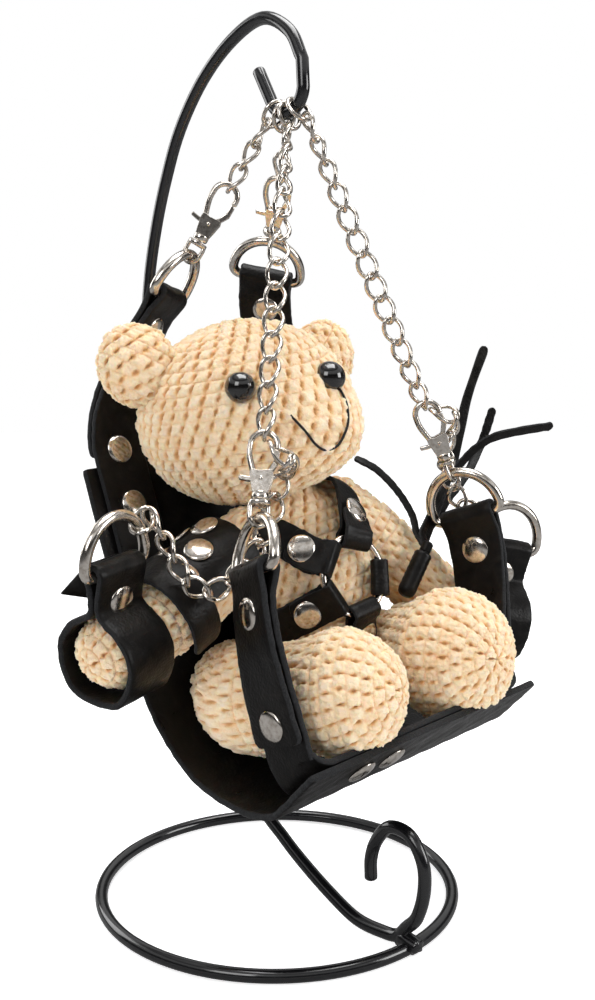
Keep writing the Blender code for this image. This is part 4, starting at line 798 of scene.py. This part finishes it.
leather, tree, shader, place = finish("black_leather", (0.009, 0.008, 0.0075), Roughness=0.42,
                                      Specular_IOR_Level=0.16)
grain = pattern(tree, "Voronoi", place, 1250.0, Randomness=1.0)
grain.feature = "SMOOTH_F1"
pores = pattern(tree, "Noise", place, 2300.0, Detail=3.0).outputs["Fac"]
crease = pattern(tree, "Noise", place, 170.0, Detail=5.0, Roughness=0.62, Distortion=0.8).outputs["Fac"]
ramp(tree, crease, ((0.3, 0.27), (0.7, 0.44)), shader.inputs["Roughness"])
ramp(tree, crease, ((0.34, (0.004, 0.0037, 0.0036)), (0.56, (0.007, 0.0062, 0.0057)),
                    (0.74, (0.013, 0.0112, 0.0098))), shader.inputs["Base Color"])
bump = roughen(tree, shader, grain.outputs["Distance"], 0.00016, 0.55)
bump = roughen(tree, shader, pores, 0.00008, 0.4, before=bump)
roughen(tree, shader, crease, 0.0007, 0.35, before=bump)

raw_edge, tree, shader, place = finish("raw_leather_edge", (0.010, 0.0105, 0.012), Roughness=0.92,
                                       Sheen_Weight=0.05, Sheen_Tint=(0.85, 0.87, 0.9, 1))
fibre = pattern(tree, "Noise", place, 1500.0, Detail=4.0, Roughness=0.7).outputs["Fac"]
ramp(tree, fibre, ((0.35, (0.004, 0.0042, 0.005)), (0.6, (0.010, 0.0105, 0.012)), (0.8, (0.034, 0.035, 0.039))),
     shader.inputs["Base Color"])
roughen(tree, shader, fibre, 0.0005, 0.9)


def rolled_way(way):
    return rolled(way) - rolled(Vector())


def upward(way):
    return way if way.z > 0 else -way


def profile_way(point, before):
    """The way the seat's profile runs to one of its points from the one before."""
    return (seat_spot(0, *SEAT_PROFILE[point]) - seat_spot(0, *SEAT_PROFILE[before])).normalized()


def turned_alike(stations):
    """Keeps the width directions of a row of stations on the same side of the strap."""
    alike = [stations[0]]
    for point, wide, face in stations[1:]:
        alike.append((point, wide if wide.dot(alike[-1][1]) > 0 else -wide, face))
    return alike


def laid_out(stations, closed=False, steps=4):
    """Fine stations of a strap (middle, width direction, face direction) out of the few that shape it."""
    middles = [point for point, _, _ in stations]
    last = len(stations) - 1
    rows = []
    for i, (point, wide, face) in enumerate(stations):
        if closed:
            way = (middles[(i + 1) % len(middles)] - middles[i - 1]).normalized()
        else:
            way = (middles[min(i + 1, last)] - middles[max(i - 1, 0)]).normalized()
        if face is None:
            wide = square(wide, way)
        out = way.cross(wide)
        if face is not None:
            out = face if out.dot(face) > 0 else -face
        rows.append((point, wide, out))
    if closed:
        rows = rows[-3:] + rows + rows[:3]
    fine = list(zip(*[smooth_route([row[k] for row in rows], steps) for k in range(3)]))
    if closed:
        fine = fine[3 * steps:-3 * steps + 1][:-1]
    return [(point, wide.normalized(), out.normalized()) for point, wide, out in fine]


def with_corners(stations):
    """The stations with a few more near both ends, where the strap's corners are rounded."""
    rows = list(stations)
    for end in (0, -1):
        near = rows[end + 1] if end == 0 else rows[end - 1]
        step = (near[0] - rows[end][0]).length
        extra = []
        for reach in (0.25, 0.8, 1.6):
            t = reach / 1000 / max(step, 1e-6)
            if t < 0.9:
                extra.append(tuple(rows[end][k].lerp(near[k], t) for k in range(3)))
        rows = rows[:1] + extra + rows[1:] if end == 0 else rows[:-1] + extra[::-1] + rows[-1:]
    return rows


def hide_strap(name, stations, width, thick, *nodes, closed=False, columns=8, corner=2.0, wave=0.12, seed=0.0):
    """A strap cut from the hide: rounded edges, rounded corners at its ends and a slightly uneven lie."""
    rows = list(stations) if closed else with_corners(stations)
    run = [0.0]
    for a, b in zip(rows, rows[1:]):
        run.append(run[-1] + (b[0] - a[0]).length * 1000)
    arc = thick * 0.32
    rings = []
    for (point, wide, out), at in zip(rows, run):
        close = min(at, run[-1] - at)
        trim = 0.0
        if not closed and close < corner:
            trim = corner - math.sqrt(max(0.0, corner ** 2 - (corner - close) ** 2))
        noise_at = at + seed * 37.0
        half = width / 2 - trim + 0.10 * math.sin(noise_at * 1.9) + 0.07 * math.sin(noise_at * 4.3 + seed)
        flat, tall = half - arc, thick / 2 - arc
        edge = [(-flat + 2 * flat * k / columns, -thick / 2) for k in range(columns + 1)]
        edge += [(flat + arc * math.sin(t), -tall - arc * math.cos(t)) for t in (0.55, 1.1)]
        edge += [(half, -tall), (half + 0.12, 0), (half, tall)]
        edge += [(flat + arc * math.cos(t), tall + arc * math.sin(t)) for t in (0.47, 1.02)]
        ring = []
        for a, b in edge + [(-a, -b) for a, b in edge]:
            lie = wave * (math.sin(noise_at * 0.42 + a * 0.21 + seed) * math.cos(a * 0.3 - noise_at * 0.11)
                          + 0.5 * math.sin(noise_at * 0.9 - a * 0.5 + 2 * seed))
            ring.append(point + wide * (a / 1000) + out * ((b + lie) / 1000))
        rings.append(ring)
    piece = skins(name, [(rings, closed)])
    sides = len(rings[0])
    rough = set(range(columns + 1, columns + 7)) | set(range(2 * columns + 8, 2 * columns + 14))
    raw = [1 if len(face.vertices) > 4 or number % sides in rough else 0
           for number, face in enumerate(piece.data.polygons)]
    leathered(piece, *nodes)
    piece.data.polygons.foreach_set("material_index", raw)
    return piece


def leathered(piece, *nodes):
    dress(piece, "swing", "black_leather", [leather, raw_edge], *nodes)


def rivet_caps(name, places, *nodes):
    """Domed nickel caps with a small rolled rim; places lists (point on the face, way out, cap radius)."""
    profile = ((-0.3 / RIVET_TALL, 0.97), (0.0, 1.0), (0.16, 1.0), (0.30, 0.965), (0.42, 0.93), (0.62, 0.80),
               (0.80, 0.62), (0.93, 0.40), (0.985, 0.20), (1.0, 0.06))
    shapes = []
    for point, out, radius in places:
        side = out.orthogonal().normalized()
        shapes.append(([disc(point + out * (RIVET_TALL * tall / 1000), side, out.cross(side), radius * wide / 1000,
                             32) for tall, wide in profile], False))
    nickelled(skins(name, shapes), *nodes)


def both_caps(middle, out, half_thick):
    """The two caps of a rivet through leather, from its middle and half its thickness in millimetres."""
    half = half_thick / 1000
    return [(middle + out * half, out, RIVET), (middle - out * half, -out, RIVET)]


class FoldedStrap:
    """A strap doubled over a D-ring's bar, from the bar down to its end on the seat."""

    def __init__(self, hanging, end, end_way, end_wide):
        self.foot, self.pull, self.face = hanging.bar_middle, hanging.pull, hanging.face
        self.bar = hanging.bar if hanging.bar.dot(end_wide) > 0 else -hanging.bar
        self.end_wide = end_wide
        reach = (end - self.foot).length * 0.3
        a, b, c, d = self.foot, self.foot - self.pull * reach, end - end_way * reach, end
        self.count = 36
        self.route = []
        for i in range(self.count + 1):
            t = i / self.count
            u = 1 - t
            self.route.append(a * u ** 3 + b * (3 * u * u * t) + c * (3 * u * t * t) + d * t ** 3)
        self.ways = directions(self.route)

    def section(self, i):
        t = i / self.count
        way = self.ways[i]
        wide = square(self.bar.lerp(self.end_wide, t * t * (3 - 2 * t)), way)
        inner = way.cross(wide)
        return self.route[i], wide, inner if self.ways[0].cross(self.bar).dot(self.face) > 0 else -inner

    def layer(self, sign, first, last):
        stations = []
        for i in range(first, last + 1, 2):
            middle, wide, inner = self.section(i)
            ease = max(0.0, 1 - (middle - self.foot).length / 0.009) ** 2
            stations.append((middle + inner * (sign * (DOUBLED + (ROUND_BAR - DOUBLED) * ease)), wide, inner))
        return stations

    def stations(self, outer_last):
        """The whole strap: the outer layer up to the bar, round it, and the inner layer down to the end."""
        inner = self.section(0)[2]
        over = []
        for t in half_turn(12):
            around = inner * -math.cos(t) - self.ways[0] * math.sin(t)
            over.append((self.foot + around * ROUND_BAR, self.bar, None))
        return self.layer(-1, 4, outer_last)[::-1] + over + self.layer(1, 4, self.count)

    def caps_at(self, i):
        """The two caps of a rivet through both layers."""
        middle, _, inner = self.section(i)
        return both_caps(middle, inner, THICK + SPREAD / 2)


across = rolled_way(SIDEWAYS)
middle_line = smooth_route([seat_spot(0, y, z) for y, z in SEAT_PROFILE], 12)
hide = hide_strap("seat_hide", laid_out([(rolled(point), across, None) for point in middle_line], steps=1),
                  2 * SEAT_HALF, THICK, "seat_sheet", columns=56, corner=1.0, wave=0.10, seed=0.4)

slope = profile_way(-1, -2)
lip_wide = rolled_way(slope)
lip_face = upward(slope.cross(SIDEWAYS))
lip_middle = seat_spot(0, *SEAT_PROFILE[-1]) - slope * (STRAP / 2000) + lip_face * LAID
edge = (SEAT_HALF - INSET) / 1000
halves, caps = [], []
for hanging in HANGINGS[:2]:
    def lip(x, above):
        return rolled(lip_middle + Vector((hanging.side * x, 0, 0)) + lip_face * above)

    fold = FoldedStrap(hanging, lip(edge, 0.007), (rolled_way(lip_face) * -1 + Vector((0, 0, -1))).normalized(),
                       lip_wide)
    turn = [(lip(edge - DOUBLED - back / 1000, above / 1000), lip_wide, None)
            for back, above in ((0.3, 4.6), (1.7, 1.8), (4.4, 0.3), (8.0, 0), (20.0, 0), (32.0, 0))]
    halves.append(fold.stations(fold.count - 4) + turn)
    caps += fold.caps_at(8) + fold.caps_at(28)
run = turned_alike(halves[0] + [(rolled(lip_middle), lip_wide, None)] + halves[1][::-1])
hide_strap("cradle_strap_hide", laid_out(run, steps=2), STRAP, THICK, "cradle_strap", seed=1.3)
rivet_caps("cradle_rivets", caps)
for x, word in ((-28.0, "right"), (-14.0, "left")):
    point = rolled(lip_middle + Vector((x / 1000, 0, 0)) - lip_face * (LAID / 2))
    rivet_caps(f"lip_rivet_{word}_caps", both_caps(point, rolled_way(lip_face).normalized(), THICK + 1.5 * GAP),
               f"lip_rivet_{word}")

down = profile_way(1, 0)
face = upward(down.cross(SIDEWAYS))
for hanging in HANGINGS[2:]:
    side, word = hanging.side, hanging.name.split("_")[1]
    top = seat_spot(0, *SEAT_PROFILE[0]) + Vector((side * (SEAT_HALF - INSET - STRAP / 2) / 1000, 0, 0))
    fold = FoldedStrap(hanging, rolled(top - down * 0.0035 + face * (LAID - DOUBLED)), rolled_way(down),
                       across * side)
    laid = [(rolled(top + down * (reach / 1000) + face * LAID), across * side, None)
            for reach in (6, 18, 30, 42, 54)]
    hide_strap(f"back_strap_{word}_hide", laid_out(turned_alike(fold.stations(fold.count) + laid), steps=2), STRAP,
               THICK, f"back_strap_{word}", seed=2.0 + side)
    rivet_caps(f"back_strap_{word}_rivets", fold.caps_at(8) + fold.caps_at(35))
    for reach, level in ((15.0, "upper"), (47.0, "lower")):
        point = rolled(top + down * (reach / 1000) + face * (LAID / 2))
        rivet_caps(f"back_strap_{word}_{level}_caps", both_caps(point, rolled_way(face).normalized(),
                                                                THICK + 1.5 * GAP),
                   f"back_strap_{word}_rivet_{level}")


# The cuffs: a short strap doubled round each paw, closed by one rivet under the D-ring in its fold, and a curb
# chain from that ring up to the claw of the front snap hook.
class Cuff:
    """Where one cuff sits: the middle of its band, the way through it, its D-ring, and its chain's way down."""

    def __init__(self, word, middle, axis, up, ring_turn, drape):
        self.word, self.ring_turn, self.drape = word, ring_turn, drape
        self.axis = axis.normalized()
        self.up = square(up, self.axis)
        self.over = self.axis.cross(self.up)
        self.bar_middle = middle + self.up * 0.026

    def at(self, across, up):
        return self.bar_middle + self.over * (across / 1000) + self.up * (up / 1000)

    def dee_point(self, shrink=0.0):
        """Where the chain's last link holds the D-ring, or a point nearer to the ring's middle."""
        t = math.radians(self.ring_turn)
        return (self.bar_middle + self.axis * ((DEE_HALF - shrink) / 1000 * math.cos(t))
                + self.up * ((DEE_CORNER + (DEE_TALL - DEE_CORNER - shrink) * math.sin(t)) / 1000))


CUFF_HALF, CUFF_DROP, CUFF_RIVET = 14.3, 40.0, 9.5
CUFFS = [Cuff("right", seat_spot(-78, -11, 47.5), Vector((0.96, 0.2, 0.12)), Vector((0.15, -0.1, 1)), 35,
              ((-27.6, -31, 98.5), (-29.8, -31.5, 90), (-33.4, -32, 82.9), (-39, -32, 75.8), (-45.7, -31, 68.1),
               (-53.5, -29, 64.5), (-60.5, -26, 66.3))),
         Cuff("left", seat_spot(74.5, -40, 39.5), Vector((0.86, -0.43, -0.2)), Vector((-0.1, 0, 1)), 145,
              ((51.6, -35, 101.8), (55.4, -34.5, 94.1), (60.0, -35, 85.3), (64.4, -35.5, 79)))]
doubled, bar = DOUBLED * 1000, ROUND_BAR * 1000
flank = [(doubled, -9), (doubled + 1.2, CUFF_DROP * -0.32), (CUFF_HALF * 0.72, CUFF_DROP * -0.45),
         (CUFF_HALF, CUFF_DROP * -0.62), (CUFF_HALF * 0.92, CUFF_DROP * -0.84)]
loop = [(bar * math.cos(t), bar * math.sin(t)) for t in half_turn(6)]
loop += [(-doubled - 0.5, -5)] + [(-a, up) for a, up in flank]
loop += [(CUFF_HALF * -0.5, -CUFF_DROP), (CUFF_HALF * 0.5, -CUFF_DROP)] + flank[::-1] + [(doubled + 0.5, -5)]
for cuff, hanging in zip(CUFFS, HANGINGS):
    word = cuff.word
    band = laid_out([(cuff.at(a, up), cuff.axis, None) for a, up in loop], closed=True, steps=5)
    hide_strap(f"cuff_{word}_hide", band, STRAP, THICK, f"cuff_{word}", closed=True, seed=3.1)
    rivet_caps(f"cuff_{word}_rivet", both_caps(cuff.at(0, -CUFF_RIVET), cuff.over, THICK + SPREAD / 2))
    dee(f"cuff_dee_{word}", cuff.bar_middle, cuff.up, cuff.axis)
    start = hanging.on_claw(-1.5, -3.1)
    aside = -hanging.claw_side * 0.72 - hanging.pull * 0.7
    end = cuff.dee_point(DEE_WIRE + WIRE + GAP)
    out = (cuff.dee_point() - end).normalized()
    knots = [start, start + aside * 0.005, start + aside * (LINK / 1000)]
    knots += [seat_spot(*point) for point in cuff.drape] + [end + out * 0.008, end]
    curb_chain(f"cuff_chain_{word}_links", smooth_route(knots, 6), hanging.claw_face, cuff.over,
               f"cuff_chain_{word}")


# The harness: thin straps of the same hide over the bear's shoulders, chest and belly, each looped round the steel
# ring on its chest and closed with a domed stud, and a studded panel wrapped round the right arm.
THIN, HARNESS, STUD, RING, RING_WIRE = 1.4, 12.2, 4.9, 13.5, 1.2
OVERLAP, STUD_BACK = 15.0, 9.5
ON_BODY = (GAP + THIN / 2 + 0.4) / 1000
ROUND_RING = (RING_WIRE + GAP + THIN / 2 + 0.2) / 1000
RING_BOW = (RING - math.sqrt(RING ** 2 - (HARNESS / 2) ** 2)) / 1000


def shared_out(a, b):
    return Vector((a.x / b.x, a.y / b.y, a.z / b.z))


def on_torso(azimuth, height, lift):
    """A point above the torso and the way out of it; azimuth 0 is the front, positive to the bear's left."""
    a, e = math.radians(azimuth), math.radians(height)
    way = Vector((math.sin(a) * math.cos(e), -math.cos(a) * math.cos(e), math.sin(e)))
    out = shared_out(way, TORSO).normalized()
    return TORSO_CENTRE + TORSO_TURN @ (way * TORSO + out * lift), TORSO_TURN @ out


def laid_on_torso(place, lift):
    """The point above the torso nearest to a place in front of it, and the way out."""
    local = TORSO_TURN.transposed() @ (place - TORSO_CENTRE)
    point = local / shared_out(local, TORSO).length
    out = shared_out(shared_out(point, TORSO), TORSO).normalized()
    return TORSO_CENTRE + TORSO_TURN @ (point + out * lift), TORSO_TURN @ out


def harness_strap(name, stations, node, seed, corner=2.6):
    hide_strap(name, laid_out(stations), HARNESS, THIN, node, columns=6, corner=corner, wave=0.06, seed=seed)


ring_middle, ring_out = on_torso(-4, 2, ON_BODY + ROUND_RING)
ring_across = square(SIDEWAYS, ring_out)
ring_up = upward(ring_out.cross(ring_across))
nickelled(skins("chest_ring_wire", [wire_loop(disc(ring_middle, ring_across, ring_up, RING / 1000, 72), RING_WIRE,
                                              16)]), "chest_ring")


def ring_loop(turn, body, stand_off=0.8):
    """Stations of a thin strap from its far end over the body, round the ring's wire and back over itself."""
    t = math.radians(turn)
    out = ring_across * math.cos(t) + ring_up * math.sin(t)
    wire = ring_middle + out * (RING / 1000)
    knots, ups = zip(*[on_torso(azimuth, height, ON_BODY + extra / 1000) for azimuth, height, extra in body])
    point, up = laid_on_torso(wire + out * 0.008, ON_BODY + stand_off / 1000)
    route = smooth_route([*knots, point, wire - ring_out * ROUND_RING], 3)
    faces = [up.normalized() for up in smooth_route([*ups, up, ring_out], 3)]
    side = ring_out.cross(out)
    lower = []
    for i, (point, way, face) in enumerate(zip(route, directions(route), faces)):
        wide = way.cross(face).normalized()
        nearing = max(0.0, 1 - (len(route) - 1 - i) / 4)
        wide = wide.lerp(side if side.dot(wide) > 0 else -side, nearing)
        lower.append((point, square(wide, face), face))
    over = []
    for t in half_turn(6)[1:-1]:
        reach = (ROUND_RING + RING_BOW) * math.sin(t)
        over.append((wire - out * reach - ring_out * (ROUND_RING * math.cos(t)), side, None))
    upper = [(wire + ring_out * ROUND_RING, side, ring_out)]
    length, close = 0.0, (THIN + GAP) / 1000
    for (point, wide, face), (after, _, _) in list(zip(lower, lower[1:]))[:0:-1]:
        length += (point - after).length
        if length > OVERLAP / 1000:
            break
        lift = close + (2 * ROUND_RING - close) * max(0.0, 1 - length / 0.008) ** 2
        upper.append((point + face * lift, wide, face))
    point, _, face = min(upper, key=lambda station: abs((station[0] - wire).length - STUD_BACK / 1000))
    return turned_alike(lower + over + upper), (point + face * (THIN / 2000), face, STUD)


studs = []
for word, turn, body, stand_off in (
        ("chest_strap", 145, ((-74, 35, 5.0), (-52, 32, 1.5)), 0.8),
        ("shoulder_strap", 76, ((165, 30, 0), (150, 52, 1.0), (108, 68, 2.5), (60, 64, 3.0), (38, 47, 4.5)), 3.6),
        ("lower_strap", 279, ((180, -74, 0), (0, -88, 0), (6, -64, 0), (10, -45, 0)), 0.8)):
    stations, stud = ring_loop(turn, body, stand_off)
    studs.append(stud)
    harness_strap(f"harness_{word}_hide", stations, f"harness_{word}", turn)
right, stud = ring_loop(211, ((180, -13, 0), (-150, -14, 0), (-120, -15, 0), (-92, -15, 0), (-62, -13, 0.2)))
left, other_stud = ring_loop(350, ((168, -14, 0), (138, -15, 0), (108, -15, 0), (80, -12, 0.6)))
harness_strap("harness_belt_hide", turned_alike(right[::-1] + left), "harness_belt", 5.0)
rivet_caps("harness_studs", studs + [stud, other_stud])

start, end = seat_spot(-27, -6.2, 70.4), seat_spot(-59, -8.7, 53.2)
arm_axis = (end - start).normalized()
arm_up = square(Vector((0, 0, 1)), arm_axis)
arm_over = arm_axis.cross(arm_up)
arm_middle = start.lerp(end, 0.5)
ROUND_ARM = 15.0
PANEL_FROM, PANEL_TURN, BAND_FROM, BAND_TURN = -84, 209, -128, 196


def round_arm(along, degrees, lift=0.0):
    """A point of the arm panel and the way out of it, from millimetres along the arm and metres above it."""
    t = math.radians(degrees)
    out = arm_up * math.cos(t) + arm_over * math.sin(t)
    return arm_middle + arm_axis * (along / 1000) + out * (ROUND_ARM / 1000 + lift), out


stations = [(round_arm(0, PANEL_FROM + PANEL_TURN * i / 11)[0], arm_axis, None) for i in range(12)]
hide_strap("harness_arm_panel_hide", laid_out(stations), (end - start).length * 1000, THIN, "harness_arm_panel",
           columns=16, wave=0.10, seed=6.0)
rivet_caps("arm_panel_studs", [(*round_arm(along, turn, THIN / 2000), STUD) for along, turn in (
    (-12.5, 0), (-2, -24), (9.5, -38), (-8, 34), (4, 30))])

# A strap closes the arm panel's lower end, and its pointed end stands out behind the cuff.
stations = [(round_arm(15.0 - 3.5 * i / 11, BAND_FROM + BAND_TURN * i / 11, (THIN + GAP) / 1000)[0], arm_axis,
             None) for i in range(12)]
harness_strap("arm_panel_band_hide", stations, "harness_arm_panel", 8.0, corner=2.0)
route = smooth_route([seat_spot(*p) for p in ((-43, 9.5, 68.5), (-53, 11.0, 67.5), (-66, 12.5, 65.0),
                                              (-81, 14.5, 61.5))], 4)
rings = []
for i, (point, way) in enumerate(zip(route, directions(route))):
    wide = square(Vector((0, 0.25, 1)), way)
    over, half = way.cross(wide), HARNESS / 2000 * min(1, (len(route) - 1 - i) / 3 + 0.05)
    rings.append([point + wide * (half * a) + over * (THIN / 2000 * b) for a, b in (
        (-1, -0.7), (-0.9, -1), (0.9, -1), (1, -0.7), (1, 0.7), (0.9, 1), (-0.9, 1), (-1, 0.7))])
leathered(shell("arm_panel_tail_hide", rings), "harness_arm_panel")


# The whip on the bear's left thigh: a stubby grip rolled from leather and four flat thongs glued into its head.
GRIP, THONG, THONG_THICK = 3.3, 3.6, 1.1
grip_top, grip_foot = seat_spot(36, -39, 67.7), seat_spot(26, -38.5, 53.2)
THONGS = (((40, -36, 72), (50, -31.5, 78), (61, -27, 87), (71, -24.5, 99), (80, -23, 121), (90, -24, 142)),
          ((41, -34, 72.5), (53, -30, 77), (66, -26, 84), (79, -25, 93), (88, -25, 105), (92, -27, 118)),
          ((40, -35, 74), (50, -31, 80), (60, -28.5, 89), (69, -31, 99), (78.5, -38, 107.5), (105, -46, 111)),
          ((38, -34, 74), (39.5, -31, 79), (39, -28, 84), (36, -25, 90), (31, -20, 97), (26, -14, 101)))
way = (grip_foot - grip_top).normalized()
length = (grip_foot - grip_top).length * 1000
profile = [(0, GRIP * 0.7), (0.25, GRIP * 0.88), (0.9, GRIP)]
profile += [(0.9 + (length - 3.4) * i / 13, GRIP * (1.0 - 0.035 * (i % 2))) for i in range(1, 13)]
profile += [(length - back, GRIP * share) for back, share in ((2.4, 0.99), (1.2, 0.88), (0.4, 0.66), (0, 0.35))]
leathered(turned_bar("whip_grip_rolled", grip_top, way, profile, 28), "whip_grip")
side = way.orthogonal().normalized()
plug = [disc(grip_top - way * ((GAP + height) / 1000), side, way.cross(side), radius / 1000, 20)
        for height, radius in ((0, 1.9), (0.3, 2.05), (3.4, 2.05), (4.0, 1.4))]
leathered(shell("whip_plug", plug), "whip_thongs")
flat_side = Vector((0.69, 0.72, -0.12))
for i, knots in enumerate(THONGS):
    route = smooth_route([grip_top - way * (GAP / 1000 + 0.002)] + [seat_spot(*knot) for knot in knots], 2)
    stations = [(point, Matrix.Rotation(math.radians(10 + 14 * i), 3, along) @ along.cross(flat_side).normalized(),
                 None) for point, along in zip(route, directions(route))]
    hide_strap(f"whip_thong_{i + 1}", laid_out(stations), THONG, THONG_THICK, "whip_thongs", columns=3, corner=1.7,
               wave=0.04, seed=7.0 + i)


# The face: two black glass eyes pressed deep into the stitches and a mouth sewn in black thread.
glass, tree, shader, place = finish("black_eye", (0.004, 0.0035, 0.0035), Roughness=0.05, Coat_Weight=1.0,
                                    Coat_Roughness=0.02)
haze = pattern(tree, "Noise", place, 300.0, Detail=2.0).outputs["Fac"]
ramp(tree, haze, ((0.35, 0.03), (0.7, 0.09)), shader.inputs["Roughness"])


def on_head(tall, turn, lift):
    """A point above the head: tall counts degrees down from its top, turn from its front to the bear's left."""
    a, b = math.radians(tall), math.radians(turn)
    way = Vector((math.sin(a) * math.sin(b), -math.sin(a) * math.cos(b), math.cos(a)))
    near = math.exp(-(way - MUZZLE_WAY).length_squared / MUZZLE_SPREAD ** 2)
    return HEAD_CENTRE + HEAD_TURN @ (way * HEAD + MUZZLE_WAY * (MUZZLE_REACH * near) + way * (lift / 1000))


for word, tall, turn, radius, lift in (("right", 66.7, -28.5, 5.1, 0.2), ("left", 71.2, 25.0, 5.5, -0.6)):
    bpy.ops.object.select_all(action="DESELECT")
    bpy.ops.mesh.primitive_uv_sphere_add(segments=48, ring_count=24, radius=radius / 1000,
                                         location=on_head(tall, turn, lift))
    eye = bpy.context.object
    eye.name = f"eye_{word}_glass"
    bpy.ops.object.transform_apply(location=True, rotation=False, scale=False)
    bpy.ops.object.shade_smooth()
    dress(eye, "swing", "black_eye", [glass], f"bear_eye_{word}")

thread, tree, shader, place = finish("black_thread", (0.008, 0.008, 0.009), Roughness=0.8)
ply = pattern(tree, "Wave", place, 900.0, Distortion=1.0).outputs["Fac"]
ramp(tree, ply, ((0.3, (0.004, 0.004, 0.005)), (0.7, (0.022, 0.021, 0.022))), shader.inputs["Base Color"])
roughen(tree, shader, ply, 0.0002, 0.7)
seam = ((86.5, -9), (91, -7), (96.8, -4.5), (104.3, -1.5), (108.8, 3), (107.3, 9), (101.3, 13.5), (95.3, 18),
        (87.7, 22.5), (81.7, 24.5), (77.0, 24.5))
route = smooth_route([on_head(tall, turn, 0.25) for tall, turn in seam], 8)
dress(shell("mouth_thread", wire_rings(route, 0.00044, 10)), "swing", "black_eye", [thread])
